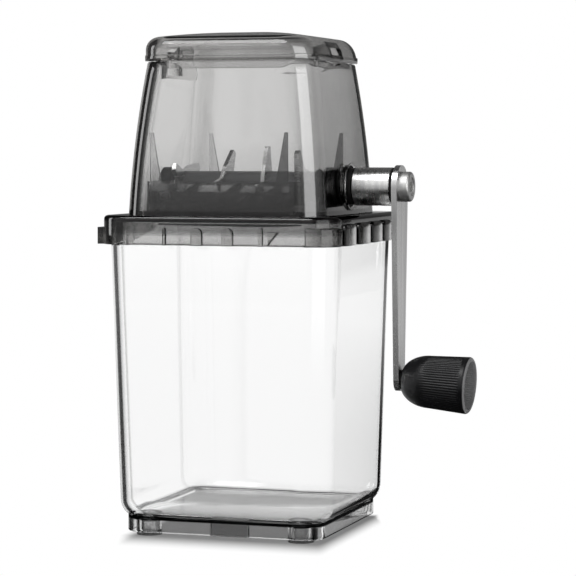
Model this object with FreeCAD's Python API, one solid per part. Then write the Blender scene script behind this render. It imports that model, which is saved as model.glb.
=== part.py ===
"""Hand cranked ice crusher: clear container, smoked head with a toothed rotor, hinged lid and side crank.

Frame, in millimetres: the origin is the middle of the four feet on the surface they stand on.
+Z is up, the crank is on the +X side and the front is on the -Y side.
"""
import FreeCAD, Part
import math
import os

from FreeCAD import Vector

# ---------------------------------------------------------------- driving dimensions

# container: a clear square jar that widens upwards, standing on a skirt and four feet
foot_height = 7.7
foot_radius = 6.4
foot_reach_x = 39.7
foot_reach_y = 43.9
foot_lap = 2.2
pad_height = 1.7
pad_plug_radius = 3.8
pad_plug_length = 5.0
skirt_half = 51.4
skirt_wall = 2.0
skirt_rise = 1.7
skirt_corner_relief = 3.9
skirt_lap = 3.0
skirt_tab_width = 19.5
skirt_tab_offset = 4.6
skirt_tab_depth = 4.5
jar_wall = 2.2
jar_floor = 2.6
jar_low_half = 55.2
jar_high_half = 58.5
jar_edge_radius = 10.0
jar_corner = 14.0
jar_inner_corner = 14.8
jar_body_height = 137.4
jar_rim_height = 11.3
jar_rim_half = 58.2
jar_rim_step = 0.6

# collar: the smoked cover that drops over the jar's rim and carries the head
rim_gap = 0.3
rim_side_gap = 0.6
collar_wall = 2.4
collar_deck = 2.7
collar_edge_radius = 2.2
collar_corner = 14.0
grip_proud = 2.0
rib_height = 8.7
rib_places = ((-24.7, 1.8), (-7.9, 6.0), (7.9, 6.0))
rib_crown_radius = 3.0
latch_place = 24.9
latch_width = 2.4
latch_ramp = (28.5, 34.3)
latch_ramp_height = 7.0
panel_places = ((-37.0, 18.0), (-12.8, 19.5), (9.8, 17.5), (28.5, 13.5))
panel_height = 10.6
corner_grip_corner = 12.0
corner_grip_front = 15.5
corner_grip_side = 10.0
corner_grip_height = 9.0
side_lug = (41.5, 53.9)
side_lug_height = 8.3

# hopper: the smoked tower on the deck, drawn in towards the lid with bowed sides
hopper_height = 75.7
hopper_low_half = 51.4
hopper_high_half = 43.9
hopper_bow = 1.0
hopper_wall = 2.2
hopper_corner = 12.5
hopper_inner_corner = 13.6
hopper_flange = 2.0
boss_radius = 11.0
boss_flare_radius = 12.0
boss_flare_width = 1.0
boss_length = 4.9
boss_proud = 1.8
boss_seat = 1.7
head_screw_radius = 1.5
head_screw_spread = 60.0
head_boss_radius = 3.0
head_boss_height = 9.0
head_screw_bearing_room = 5.5
head_screw_tip_room = 2.0
screw_head_share = 1.9
screw_head_height = 1.5

# grinding chamber inside the hopper
chamber_front_room = 5.2
chamber_left_room = 7.2
chamber_bearing_room = 13.2
chamber_wall = 1.6
chamber_floor = 2.6
chamber_height = 16.6
chamber_corner = 3.0
chamber_post_height = 40.6
chamber_post_width = 6.0
chute_drop = 9.4
chute_wall = 2.0
chute_fit = 0.3
chute_inset = 0.4
chamber_fit = 0.3
ramp_width = 5.5
guide_rib_width = 1.6
guide_rib_depth = 2.0

# rotor
shaft_height = 13.8
shaft_radius = 5.0
shaft_running_gap = 0.05
rotor_radius = 20.0
rotor_root_radius = 9.0
rotor_end_room = 4.4
rotor_stack_gap = 0.5
rotor_points = 3
rotor_phase_degrees = 30.0
rotor_heel_share = 1.15
blade_thickness = 2.0
spacer_radius = 7.4
rotor_chute_gap = 2.5
comb_thickness = 2.5
comb_chute_gap = 1.0
comb_ramp_gap = 2.4
comb_ramp_rise = 0.3
comb_tooth_root = 7.0
comb_tooth_tip = 2.4
comb_shaft_gap = 3.0
comb_screw_radius = 1.4
comb_screw_share = 0.55
comb_screw_start = 0.4
screw_fit = 0.05

# bearings
bush_barrel_radius = 9.4
bush_spigot_radius = 7.0
bush_boss_radius = 8.5
bush_fit = 0.05
blind_bush_press = 0.3
blind_bush_end = 1.5
shaft_end_gap = 0.4
bush_spigot_lap = 0.2
bush_end_gap = 0.1
seal_radius = 10.5
seal_thickness = 2.4
seal_nose = 2.6
seal_nose_radius = 9.2
clip_radius = 7.4
clip_thickness = 1.0
clip_mouth = 4.0

# crank
sleeve_gap = 0.4
sleeve_radius = 9.55
sleeve_length = 19.4
sleeve_chamfer = 0.4
washer_radius = 9.4
washer_thickness = 1.6
arm_thickness = 2.8
arm_top_radius = 10.7
arm_low_radius = 5.8
crank_throw = 96.2
bolt_head_radius = 7.5
bolt_head_height = 5.0
bolt_shank_radius = 2.5
bolt_shank_length = 18.0
bolt_socket_flats = 5.0
bolt_socket_depth = 2.6
bolt_dish_share = 0.62
bolt_dish_depth = 0.6
bolt_rim_radius = 1.2
arm_drive_radius = 4.2
arm_drive_flat_share = 0.75
grub_radius = 1.5
grub_place = 7.0
grub_sink = 0.8
grub_socket_depth = 1.8
grub_socket_share = 0.55

# knob
knob_droop_degrees = 3.6
knob_length = 35.4
knob_neck_radius = 4.8
knob_shoulder_radius = 13.1
knob_shoulder_at = 14.5
knob_rim_radius = 14.2
knob_rim_rounding = 1.6
knob_cup_depth = 10.5
knob_cup_wall = 2.2
knob_cup_draft = 0.8
knob_end_gap = 0.3
knob_washer_thickness = 0.5
axle_radius = 3.0
axle_head_radius = 5.5
axle_head_thickness = 2.0
axle_fit = 0.03
knob_running_gap = 0.05

# lid
lid_gap = 0.3
lid_height = 15.2
lid_overhang = 1.1
lid_wall = 2.2
lid_corner = 14.0
lid_shoulder_radius = 6.6
lid_slope_length = 9.0
lid_slope_height = 12.5
lid_crown = 2.9
lid_bead = 0.3
lid_bead_height = 3.0
plug_depth = 4.2
plug_wall = 1.6
plug_side_gap = 0.7
plug_corner = 13.0
plug_corner_relief = 1.5
plug_corner_reach = 9.0
notch_width = 18.0
notch_depth = 8.0
notch_height = 10.6
notch_wall = 1.6
hinge_inset = 2.4
hinge_rise = 3.6
hinge_barrel_radius = 2.2
hinge_pin_radius = 1.0
hinge_fit = 0.06
hinge_end_gap = 1.5
hinge_relief = 1.0
hinge_wall_gap = 0.6
bracket_width = 54.0
bracket_depth = 2.6
bracket_height = 7.8
bracket_side_gap = 1.5
hinge_pin_stand = 0.8
lid_shelf_height = 1.4
thumb_pocket_rise = 3.2
thumb_pocket_height = 3.6
finger_notch_width = 16.0
finger_notch_depth = 1.9

# ---------------------------------------------------------------- derived places

jar_bottom_z = foot_height
jar_shoulder_z = jar_bottom_z + jar_body_height
jar_top_z = jar_shoulder_z + jar_rim_height
collar_bottom_z = jar_shoulder_z
deck_low_z = jar_top_z + rim_gap
deck_z = deck_low_z + collar_deck
collar_inner_half = jar_rim_half + rim_side_gap
collar_half = collar_inner_half + collar_wall
grip_half = collar_half + grip_proud
hopper_top_z = deck_z + hopper_height
shaft_z = deck_z + shaft_height

chamber_y = hopper_low_half - hopper_wall - chamber_front_room
chamber_left = -(hopper_low_half - hopper_wall - chamber_left_room)
chamber_right = hopper_low_half - hopper_wall - chamber_bearing_room
chamber_floor_z = deck_z + chamber_floor
chamber_top_z = deck_z + chamber_height
chamber_middle = (chamber_left + chamber_right) / 2
chute_y = rotor_radius + rotor_chute_gap
chute_left = chamber_left + chamber_wall + chute_inset
chute_right = chamber_right - chamber_wall - chute_inset
rotor_pitch = (chamber_right - chamber_left - 2 * chamber_wall - 2 * rotor_end_room) / 3
comb_in_y = chute_y + comb_chute_gap
comb_out_y = chamber_y - chamber_wall - ramp_width - comb_ramp_gap


def hopper_half(z, inset=0.0):
    """Half width of the hopper's outside at a height, less an inset."""
    middle = hopper_height / 2
    share = (z - deck_z) / hopper_height
    straight = hopper_low_half + (hopper_high_half - hopper_low_half) * share
    bow = hopper_bow * (1 - ((z - deck_z - middle) / middle) ** 2)
    return straight + bow - inset


wall_x = hopper_half(shaft_z)
boss_face_x = wall_x + boss_proud
boss_start_x = boss_face_x - boss_length
seal_x = boss_start_x + boss_seat
seal_end_x = seal_x + seal_thickness + seal_nose
sleeve_x = seal_end_x + sleeve_gap
washer_x = sleeve_x + sleeve_length
arm_x = washer_x + washer_thickness
arm_face_x = arm_x + arm_thickness
knob_z = shaft_z - crank_throw
bush_bore = shaft_radius + shaft_running_gap
blind_bush_x = -hopper_half(shaft_z + bush_barrel_radius, hopper_wall) + blind_bush_press
shaft_start_x = blind_bush_x + blind_bush_end + shaft_end_gap
stack_start_x = chamber_left + chamber_wall + rotor_stack_gap
stack_end_x = chamber_right - chamber_wall - rotor_stack_gap

lid_low_z = hopper_top_z + lid_gap
lid_top_z = lid_low_z + lid_height
lid_half = hopper_high_half + lid_overhang
hinge_x = -(lid_half - hinge_inset)
hinge_z = lid_low_z + hinge_rise
knob_droop = math.radians(knob_droop_degrees)
knob_axis = Vector(math.cos(knob_droop), 0, -math.sin(knob_droop))
knob_base = Vector(arm_face_x, 0, knob_z)

# ---------------------------------------------------------------- shape helpers


def rounded_outline(x0, x1, y0, y1, corner, z):
    """Closed wire: a rectangle with round corners, level at height z."""
    corner = max(corner, 0.2)
    cut = corner * (1 - math.sqrt(0.5))
    sides = (
        ((x0 + corner, y0), (x1 - corner, y0), (x1 - cut, y0 + cut), (x1, y0 + corner)),
        ((x1, y0 + corner), (x1, y1 - corner), (x1 - cut, y1 - cut), (x1 - corner, y1)),
        ((x1 - corner, y1), (x0 + corner, y1), (x0 + cut, y1 - cut), (x0, y1 - corner)),
        ((x0, y1 - corner), (x0, y0 + corner), (x0 + cut, y0 + cut), (x0 + corner, y0)),
    )
    edges = []
    for start, end, middle, after in sides:
        a, b, c, d = (Vector(px, py, z) for px, py in (start, end, middle, after))
        edges.append(Part.LineSegment(a, b).toShape())
        edges.append(Part.Arc(b, c, d).toShape())
    return Part.Wire(edges)


def stack(sections):
    """Solid through level rounded squares, each given as (height, half width, corner)."""
    wires = [rounded_outline(-half, half, -half, half, corner, z) for z, half, corner in sections]
    return Part.makeLoft(wires, True, True)


def block(x0, x1, y0, y1, z0, z1):
    """Plain box from its two corners."""
    return Part.makeBox(x1 - x0, y1 - y0, z1 - z0, Vector(x0, y0, z0))


def rounded_block(x0, x1, y0, y1, corner, z0, z1):
    """Upright prism with round corners."""
    face = Part.Face(rounded_outline(x0, x1, y0, y1, corner, z0))
    return face.extrude(Vector(0, 0, z1 - z0))


def rod_x(x0, x1, radius, y=0.0, z=None):
    """Cylinder along X, on the shaft's axis unless a height is given."""
    return Part.makeCylinder(radius, x1 - x0, Vector(x0, y, shaft_z if z is None else z), Vector(1, 0, 0))


def rod_y(x, z, y0, y1, radius):
    """Cylinder along Y."""
    return Part.makeCylinder(radius, y1 - y0, Vector(x, y0, z), Vector(0, 1, 0))


def rod_z(x, y, z0, z1, radius):
    """Upright cylinder."""
    return Part.makeCylinder(radius, z1 - z0, Vector(x, y, z0), Vector(0, 0, 1))


def plate_x(points, x0, x1):
    """Plate across X from (y, z) points."""
    corners = [Vector(x0, y, z) for y, z in points]
    face = Part.Face(Part.makePolygon(corners + corners[:1]))
    return face.extrude(Vector(x1 - x0, 0, 0))


def plate_y(points, y0, y1):
    """Plate across Y from (x, z) points."""
    corners = [Vector(x, y0, z) for x, z in points]
    face = Part.Face(Part.makePolygon(corners + corners[:1]))
    return face.extrude(Vector(0, y1 - y0, 0))


def plate_z(points, z0, z1):
    """Level plate from (x, y) points."""
    corners = [Vector(x, y, z0) for x, y in points]
    face = Part.Face(Part.makePolygon(corners + corners[:1]))
    return face.extrude(Vector(0, 0, z1 - z0))


def hexagon_x(across_corners, x0, x1):
    """Hexagonal bar on the shaft's axis."""
    points = []
    for k in range(6):
        angle = math.radians(60 * k)
        points.append((across_corners / 2 * math.cos(angle), shaft_z + across_corners / 2 * math.sin(angle)))
    return plate_x(points, x0, x1)


def write(name, shape):
    """Write one piece as its own STEP file."""
    shape.exportStep("parts/" + name + ".step")


# ---------------------------------------------------------------- container


def jar_sections(inset, floor_z, top_z):
    """Sections of the jar's side: a round bottom edge, drawn walls and an upright rim."""
    radius = jar_edge_radius - inset
    centre_half = jar_low_half - jar_edge_radius
    centre_z = floor_z + radius
    corner = jar_inner_corner if inset else jar_corner
    sections = []
    for step in range(5):
        angle = math.radians(22.5 * step)
        half = centre_half + radius * math.sin(angle)
        sections.append((centre_z - radius * math.cos(angle), half, corner - radius * (1 - math.sin(angle))))
    sections.append((jar_shoulder_z - jar_rim_step, jar_high_half - inset, corner))
    sections.append((jar_shoulder_z, jar_rim_half - inset, corner))
    sections.append((top_z, jar_rim_half - inset, corner))
    return sections


def feet_places():
    """Name and place of each foot."""
    for end, sy in (("front", -1), ("rear", 1)):
        for side, sx in (("left", -1), ("right", 1)):
            yield end + "_" + side, sx * foot_reach_x, sy * foot_reach_y


def make_container():
    """Jar with its standing skirt, the four foot bosses and two finger tabs."""
    outside = stack(jar_sections(0.0, jar_bottom_z, jar_top_z))
    inside = stack(jar_sections(jar_wall, jar_bottom_z + jar_floor, jar_top_z + 1.0))
    skirt_top = jar_bottom_z + skirt_lap
    skirt_corner = jar_corner - skirt_corner_relief
    half = skirt_half
    skirt = rounded_block(-half, half, -half, half, skirt_corner, skirt_rise, skirt_top)
    core_half = half - skirt_wall
    core_corner = skirt_corner - skirt_wall
    core = rounded_block(-core_half, core_half, -core_half, core_half, core_corner, 0.0, jar_bottom_z)
    added = [skirt.cut(core)]
    for side in (-1, 1):
        x0 = -side * skirt_tab_offset - skirt_tab_width / 2
        y0, y1 = sorted((side * skirt_half, side * (skirt_half - skirt_tab_depth)))
        added.append(block(x0, x0 + skirt_tab_width, y0, y1, skirt_rise, jar_bottom_z + 0.1))
    for _, x, y in feet_places():
        added.append(rod_z(x, y, pad_height, jar_bottom_z + foot_lap, foot_radius))
    jar = outside.fuse(added).cut(inside)
    bore_top = pad_height + pad_plug_length + 0.5
    bore_radius = pad_plug_radius + 0.05
    bores = [rod_z(x, y, pad_height - 1.0, bore_top, bore_radius) for _, x, y in feet_places()]
    return jar.cut(bores).removeSplitter()


def make_foot_pad(x, y):
    """Soft pad with a plug pressed into the foot's bore."""
    pad = rod_z(x, y, 0.0, pad_height, foot_radius)
    plug = rod_z(x, y, pad_height - 0.1, pad_height + pad_plug_length, pad_plug_radius)
    return pad.fuse(plug).removeSplitter()


# ---------------------------------------------------------------- collar


def deck_opening(grow):
    """Prism of the discharge opening, grown on each side."""
    return block(
        chute_left - chute_wall - grow, chute_right + chute_wall + grow,
        -chute_y - chute_wall - grow, chute_y + chute_wall + grow,
        deck_low_z - collar_deck, deck_z + collar_deck,
    )


def turned(shape):
    """The shape and its copy half a turn round."""
    copy = shape.copy()
    copy.rotate(Vector(0, 0, 0), Vector(0, 0, 1), 180)
    return [shape, copy]


def arched_rib(x, half_width, height):
    """Finger rib on the front, with a round top."""
    y0, y1 = -grip_half, -collar_half + collar_wall / 2
    radius = min(half_width, rib_crown_radius)
    shoulder = collar_bottom_z + height - radius
    body = block(x - half_width, x + half_width, y0, y1, collar_bottom_z, shoulder)
    return body.fuse(rod_y(x, shoulder, y0, y1, radius))


def side_panel(y, width):
    """Raised panel on the right side, with two round upper corners."""
    x0, x1 = collar_half - collar_wall / 2, grip_half
    radius = rib_crown_radius
    top = collar_bottom_z + panel_height
    low_y, high_y = y - width / 2, y + width / 2
    body = block(x0, x1, low_y, high_y, collar_bottom_z, top - radius)
    body = body.fuse(block(x0, x1, low_y + radius, high_y - radius, top - radius - 0.1, top))
    for place in (low_y + radius, high_y - radius):
        body = body.fuse(rod_x(x0, x1, radius, place, top - radius))
    return body


def latch():
    """Thin latch rib on the front and the ramp beside it."""
    y0, y1 = -grip_half, -collar_half + collar_wall / 2
    low = collar_bottom_z
    half = latch_width / 2
    rib = block(latch_place - half, latch_place + half, y0, y1, low, low + corner_grip_height)
    ramp_start, ramp_end = latch_ramp
    high = low + latch_ramp_height
    ramp = plate_y([(ramp_start, low), (ramp_end, high), (ramp_start, high)], y0, y1)
    return [rib, ramp]


def corner_grip():
    """Raised band round the front right corner."""
    top = collar_bottom_z + corner_grip_height
    half, core = grip_half, collar_half - collar_wall / 2
    outer = rounded_block(-half, half, -half, half, corner_grip_corner, collar_bottom_z, top)
    band = outer.cut(rounded_block(-core, core, -core, core, collar_corner, collar_bottom_z - 1, top + 1))
    return band.common(block(
        grip_half - corner_grip_front, grip_half + 1, -grip_half - 1, corner_grip_side - grip_half,
        collar_bottom_z - 1, top + 1,
    ))


def rear_lug():
    """Square lug at the rear end of the right side."""
    y0, y1 = side_lug
    return block(collar_inner_half, grip_half, y0, y1, collar_bottom_z, collar_bottom_z + side_lug_height)


def make_collar():
    """Deck plate and skirt with finger ribs, panels, lugs, a latch and two raised corners."""
    edge = collar_edge_radius
    sections = [(collar_bottom_z, collar_half, collar_corner)]
    for step in range(4):
        angle = math.radians(30 * step)
        shrink = edge * (1 - math.cos(angle))
        sections.append((deck_z - edge * (1 - math.sin(angle)), collar_half - shrink, collar_corner - shrink))
    body = stack(sections)
    inner = collar_inner_half
    cavity = rounded_block(-inner, inner, -inner, inner, collar_corner, collar_bottom_z - 1.0, deck_low_z)
    raised = [arched_rib(x, width / 2, rib_height) for x, width in rib_places]
    raised += [side_panel(y, width) for y, width in panel_places]
    raised += latch() + [corner_grip(), rear_lug()]
    added = []
    for shape in raised:
        added += turned(shape)
    hole_radius = head_screw_radius + 2 * screw_fit
    cuts = [deck_opening(chute_fit)]
    for x, y in head_screw_places():
        cuts.append(rod_z(x, y, deck_low_z - 1.0, deck_z + 1.0, hole_radius))
    return body.cut(cavity).fuse(added).cut(cuts).removeSplitter()


def head_screw_places():
    """Places of the four screws that hold the hopper down on the deck."""
    left = (chamber_left - (hopper_low_half - hopper_wall)) / 2
    right = chamber_right + head_screw_bearing_room
    for x in (left, right):
        for y in (-head_screw_spread / 2, head_screw_spread / 2):
            yield x, y


def make_collar_screws():
    """Pan head screws driven up from under the deck, as one group."""
    screws = []
    tip = deck_z + head_boss_height - head_screw_tip_room
    for x, y in head_screw_places():
        shank = rod_z(x, y, deck_low_z - 0.1, tip, head_screw_radius)
        head_radius = head_screw_radius * screw_head_share
        head = rod_z(x, y, deck_low_z - screw_head_height, deck_low_z, head_radius)
        screws.append(shank.fuse(head).removeSplitter())
    return Part.makeCompound(screws)


# ---------------------------------------------------------------- hopper


def hopper_body(inset, z0, z1):
    """Tapering tower with bowed sides, drawn in by an inset."""
    heights = [deck_z + hopper_height * k / 4 for k in range(5)]
    inner = [z for z in heights if z0 < z < z1]
    sections = []
    for z in [z0] + inner + [z1]:
        corner = hopper_inner_corner if inset else hopper_corner
        sections.append((z, hopper_half(z, inset), corner))
    return stack(sections)


def make_hopper():
    """Hopper with its seating flange, shaft boss, screw bosses and hinge bracket."""
    outside = hopper_body(0.0, deck_z, hopper_top_z)
    inside = hopper_body(hopper_wall, deck_z - 1.0, hopper_top_z + 1.0)
    flange_top = deck_z + hopper_flange
    half = hopper_low_half - hopper_wall / 2
    flange = rounded_block(-half, half, -half, half, hopper_corner, deck_z, flange_top)
    room = block(
        chamber_left - chamber_fit, chamber_right + chamber_fit,
        -chamber_y - chamber_fit, chamber_y + chamber_fit, deck_z - 1, flange_top + 1,
    )
    added = [flange.cut(room)]
    for x, y in head_screw_places():
        added.append(rod_z(x, y, deck_z, deck_z + head_boss_height, head_boss_radius))
    boss = rod_x(boss_start_x, boss_face_x, boss_radius)
    flare = rod_x(boss_face_x - boss_flare_width, boss_face_x, boss_flare_radius)
    bracket_top = hopper_top_z - 0.1
    bracket_z = hopper_top_z - bracket_height
    bracket_x = -hopper_half(bracket_z, hopper_wall / 2)
    bracket_face = -hopper_half(hopper_top_z, hopper_wall) + bracket_depth
    half_width = bracket_width / 2
    bracket = block(bracket_x, bracket_face, -half_width, half_width, bracket_z, bracket_top)
    knuckle_half = notch_width / 2 - hinge_end_gap
    stem_x0 = hinge_x - hinge_barrel_radius
    stem_x1 = hinge_x + hinge_barrel_radius
    stem_z = hopper_top_z - hinge_barrel_radius
    stem = block(stem_x0, stem_x1, -knuckle_half, knuckle_half, stem_z, hinge_z)
    barrel = rod_y(hinge_x, hinge_z, -knuckle_half, knuckle_half, hinge_barrel_radius)
    added += [boss, flare, bracket, stem, barrel]
    shell = outside.cut(inside).fuse(added)
    half_finger = finger_notch_width / 2
    cuts = [
        rod_x(boss_start_x - 1, boss_face_x + 1, bush_boss_radius + bush_fit),
        rod_x(seal_x - 2 * bush_fit, boss_face_x + 1, seal_radius + 2 * bush_fit),
        rod_y(hinge_x, hinge_z, -knuckle_half - 1, knuckle_half + 1, hinge_pin_radius + hinge_fit),
        block(
            hopper_high_half - 3 * hopper_wall, hopper_high_half + hopper_wall,
            -half_finger, half_finger, hopper_top_z - finger_notch_depth, hopper_top_z + 1,
        ),
    ]
    screw_end = deck_z + head_boss_height - head_screw_tip_room + 0.5
    for x, y in head_screw_places():
        cuts.append(rod_z(x, y, deck_z - 1, screw_end, head_screw_radius + screw_fit))
    return shell.cut(cuts).removeSplitter()


# ---------------------------------------------------------------- chamber, combs


def tooth_places():
    """Places along the shaft of the fixed teeth, between the rotor's blades."""
    return [chamber_middle + k * rotor_pitch for k in (-1, 0, 1)]


def make_chamber():
    """Grinding chamber: walls with corner posts, a floor with the chute, ramps and guide ribs."""
    left, right, y0 = chamber_left, chamber_right, chamber_y
    walls = rounded_block(left, right, -y0, y0, chamber_corner, deck_z, chamber_top_z)
    x0 = chamber_left + chamber_wall
    x1 = chamber_right - chamber_wall
    y1 = chamber_y - chamber_wall
    inner_corner = chamber_corner - chamber_wall
    room = rounded_block(x0, x1, -y1, y1, inner_corner, chamber_floor_z, chamber_top_z + 1)
    added = []
    ramp_low = chamber_floor_z + comb_thickness + comb_ramp_rise
    for sy in (-1, 1):
        wall_y = sy * (y1 + 0.1)
        points = [(wall_y, chamber_top_z - 1.0), (wall_y, ramp_low), (sy * (y1 - ramp_width), ramp_low)]
        added.append(plate_x(points, x0 - 0.1, x1 + 0.1))
        rib_y0, rib_y1 = sorted((sy * (y1 - guide_rib_depth), wall_y))
        for x in tooth_places():
            rib_x0 = x - guide_rib_width / 2
            added.append(block(rib_x0, rib_x0 + guide_rib_width, rib_y0, rib_y1, ramp_low, chamber_top_z))
    post_top = deck_z + chamber_post_height
    tip = chamber_wall
    for sx, edge in ((1, chamber_left), (-1, chamber_right)):
        for sy in (-1, 1):
            start = edge + sx * chamber_corner
            points = [
                (start, chamber_top_z - 0.1), (start + sx * chamber_post_width, chamber_top_z - 0.1),
                (start + sx * tip, post_top), (start, post_top),
            ]
            y_in, y_out = sorted((sy * (chamber_y - chamber_wall), sy * chamber_y))
            added.append(plate_y(points, y_in, y_out))
    chute_low = deck_z - chute_drop
    lip_x0, lip_x1, lip_y = chute_left - chute_wall, chute_right + chute_wall, chute_y + chute_wall
    lip = block(lip_x0, lip_x1, -lip_y, lip_y, chute_low, deck_z + 0.1)
    throat = block(chute_left, chute_right, -chute_y, chute_y, chute_low - 1, chamber_floor_z + 1)
    body = walls.cut(room).fuse(added + [lip]).cut(throat)
    bores = [
        rod_x(chamber_right - chamber_wall - 1, chamber_right + 1, bush_spigot_radius + bush_fit),
        rod_x(chamber_left - 1, chamber_left + chamber_wall + 1, bush_spigot_radius + bush_fit),
    ]
    for x, y in comb_screw_places():
        bores.append(rod_z(x, y, deck_z - 1, chamber_floor_z + 1, comb_screw_radius + screw_fit))
    return body.cut(bores).removeSplitter()


def comb_screw_places():
    """Places of the screws that hold the two combs to the chamber's floor."""
    y = comb_in_y + (comb_out_y - comb_in_y) * comb_screw_share
    for x in (chamber_middle - 1.5 * rotor_pitch, chamber_middle + 1.5 * rotor_pitch):
        for sy in (-1, 1):
            yield x, sy * y


def make_comb(sy):
    """Steel comb: a bar on the chamber's floor whose teeth reach in between the rotor's blades."""
    z0 = chamber_floor_z
    z1 = z0 + comb_thickness
    y0, y1 = sorted((sy * comb_in_y, sy * comb_out_y))
    comb = block(chute_left + comb_chute_gap, chute_right - comb_chute_gap, y0, y1, z0, z1)
    root, tip = sy * (comb_in_y + 0.1), sy * (spacer_radius + comb_shaft_gap)
    teeth = []
    for x in tooth_places():
        points = [
            (x - comb_tooth_root / 2, root), (x + comb_tooth_root / 2, root),
            (x + comb_tooth_tip / 2, tip), (x - comb_tooth_tip / 2, tip),
        ]
        teeth.append(plate_z(points, z0, z1))
    holes = []
    for x, y in comb_screw_places():
        if y * sy > 0:
            holes.append(rod_z(x, y, z0 - 1, z1 + 1, comb_screw_radius + screw_fit))
    return comb.fuse(teeth).cut(holes).removeSplitter()


def make_comb_screws():
    """The combs' pan head screws, as one group."""
    screws = []
    top = chamber_floor_z + comb_thickness
    for x, y in comb_screw_places():
        shank = rod_z(x, y, deck_z + comb_screw_start, top + 0.1, comb_screw_radius)
        head = rod_z(x, y, top, top + screw_head_height, comb_screw_radius * screw_head_share)
        screws.append(shank.fuse(head).removeSplitter())
    return Part.makeCompound(screws)


# ---------------------------------------------------------------- bearings


def make_drive_bush():
    """Bush between the chamber and the hopper's boss, where the shaft comes out."""
    inner_x = chamber_right - chamber_wall - bush_spigot_lap
    barrel = rod_x(chamber_right + bush_end_gap, boss_start_x - bush_end_gap, bush_barrel_radius)
    inner = rod_x(inner_x, chamber_right + bush_spigot_lap, bush_spigot_radius)
    outer = rod_x(boss_start_x - bush_spigot_lap, seal_x - 2 * bush_fit, bush_boss_radius)
    bore = rod_x(inner_x - 1, seal_x + 1, bush_bore)
    return barrel.fuse([inner, outer]).cut(bore).removeSplitter()


def make_blind_bush():
    """Blind bush that carries the shaft's far end."""
    inner_x = chamber_left + chamber_wall + bush_spigot_lap
    barrel = rod_x(blind_bush_x, chamber_left - bush_end_gap, bush_barrel_radius)
    spigot = rod_x(chamber_left - bush_spigot_lap, inner_x, bush_spigot_radius)
    bore = rod_x(blind_bush_x + blind_bush_end, inner_x + 1, bush_bore)
    return barrel.fuse(spigot).cut(bore).removeSplitter()


def make_shaft_seal():
    """Ring in the boss's mouth, with a nose that stands out towards the crank's sleeve."""
    ring = rod_x(seal_x, seal_x + seal_thickness, seal_radius)
    ring = ring.fuse(rod_x(seal_x, seal_end_x, seal_nose_radius))
    return ring.cut(rod_x(seal_x - 1, seal_end_x + 1, bush_bore)).removeSplitter()


# ---------------------------------------------------------------- rotor


def blade_places():
    """Places along the shaft of the rotor's blades."""
    return [chamber_middle + k * rotor_pitch for k in (-1.5, -0.5, 0.5, 1.5)]


def make_rotor_shaft():
    """Shaft: round in the bushes, hexagonal under the blades, bored for the crank's bolt."""
    across = 2 * shaft_radius
    round_left = rod_x(shaft_start_x, stack_start_x + clip_thickness, shaft_radius)
    hexagon = hexagon_x(across, stack_start_x, stack_end_x + 0.1)
    round_right = rod_x(stack_end_x, arm_x, shaft_radius)
    drive = rod_x(arm_x - 0.1, arm_face_x - 0.1, arm_drive_radius)
    flat_z = shaft_z + arm_drive_radius * arm_drive_flat_share
    flat = block(arm_x - 0.1, arm_face_x, -shaft_radius, shaft_radius, flat_z, shaft_z + across)
    bore = rod_x(arm_face_x - bolt_shank_length - 0.5, arm_face_x + 1, bolt_shank_radius + screw_fit)
    return round_left.fuse([hexagon, round_right, drive.cut(flat)]).cut(bore).removeSplitter()


def make_blade(x, phase):
    """Toothed rotor blade with swept points."""
    points = []
    for k in range(rotor_points):
        base = phase + 360.0 / rotor_points * k
        for radius, turn in (
            (rotor_root_radius, -26), (rotor_radius, -5),
            (rotor_radius, 5), (rotor_root_radius * rotor_heel_share, 46),
        ):
            angle = math.radians(base + turn)
            points.append((radius * math.cos(angle), shaft_z + radius * math.sin(angle)))
    plate = plate_x(points, x - blade_thickness / 2, x + blade_thickness / 2)
    across = 2 * (shaft_radius + shaft_running_gap)
    return plate.cut(hexagon_x(across, x - blade_thickness, x + blade_thickness)).removeSplitter()


def make_spacer(x0, x1):
    """Tube between blades."""
    tube = rod_x(x0, x1, spacer_radius)
    return tube.cut(rod_x(x0 - 1, x1 + 1, shaft_radius + shaft_running_gap))


def make_shaft_clip():
    """Open retaining ring beside the blind bush."""
    end = stack_start_x + clip_thickness
    ring = rod_x(stack_start_x, end, clip_radius)
    ring = ring.cut(rod_x(stack_start_x - 1, end + 1, shaft_radius + shaft_running_gap / 2))
    mouth_top = shaft_z + 2 * clip_radius
    return ring.cut(block(stack_start_x - 1, end + 1, -clip_mouth / 2, clip_mouth / 2, shaft_z, mouth_top))


# ---------------------------------------------------------------- crank


def make_sleeve():
    """Brushed sleeve over the shaft, with a grub screw hole underneath."""
    tube = rod_x(sleeve_x, washer_x, sleeve_radius)
    tube = tube.makeChamfer(sleeve_chamfer, [e for e in tube.Edges if e.Closed])
    bore = rod_x(sleeve_x - 1, washer_x + 1, shaft_radius + shaft_running_gap)
    grub = rod_z(washer_x - grub_place, 0, shaft_z - sleeve_radius - 1, shaft_z, grub_radius + screw_fit)
    return tube.cut([bore, grub]).removeSplitter()


def make_grub_screw():
    """Headless screw that locks the sleeve to the shaft."""
    x = washer_x - grub_place
    low = shaft_z - sleeve_radius
    screw = rod_z(x, 0, low + grub_sink, shaft_z - bush_bore, grub_radius)
    socket = rod_z(x, 0, low, low + grub_socket_depth, grub_radius * grub_socket_share)
    return screw.cut(socket)


def make_crank_washer():
    """Dark washer between the sleeve and the arm."""
    ring = rod_x(washer_x, arm_x, washer_radius)
    return ring.cut(rod_x(washer_x - 1, arm_x + 1, shaft_radius + 2 * shaft_running_gap))


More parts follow.
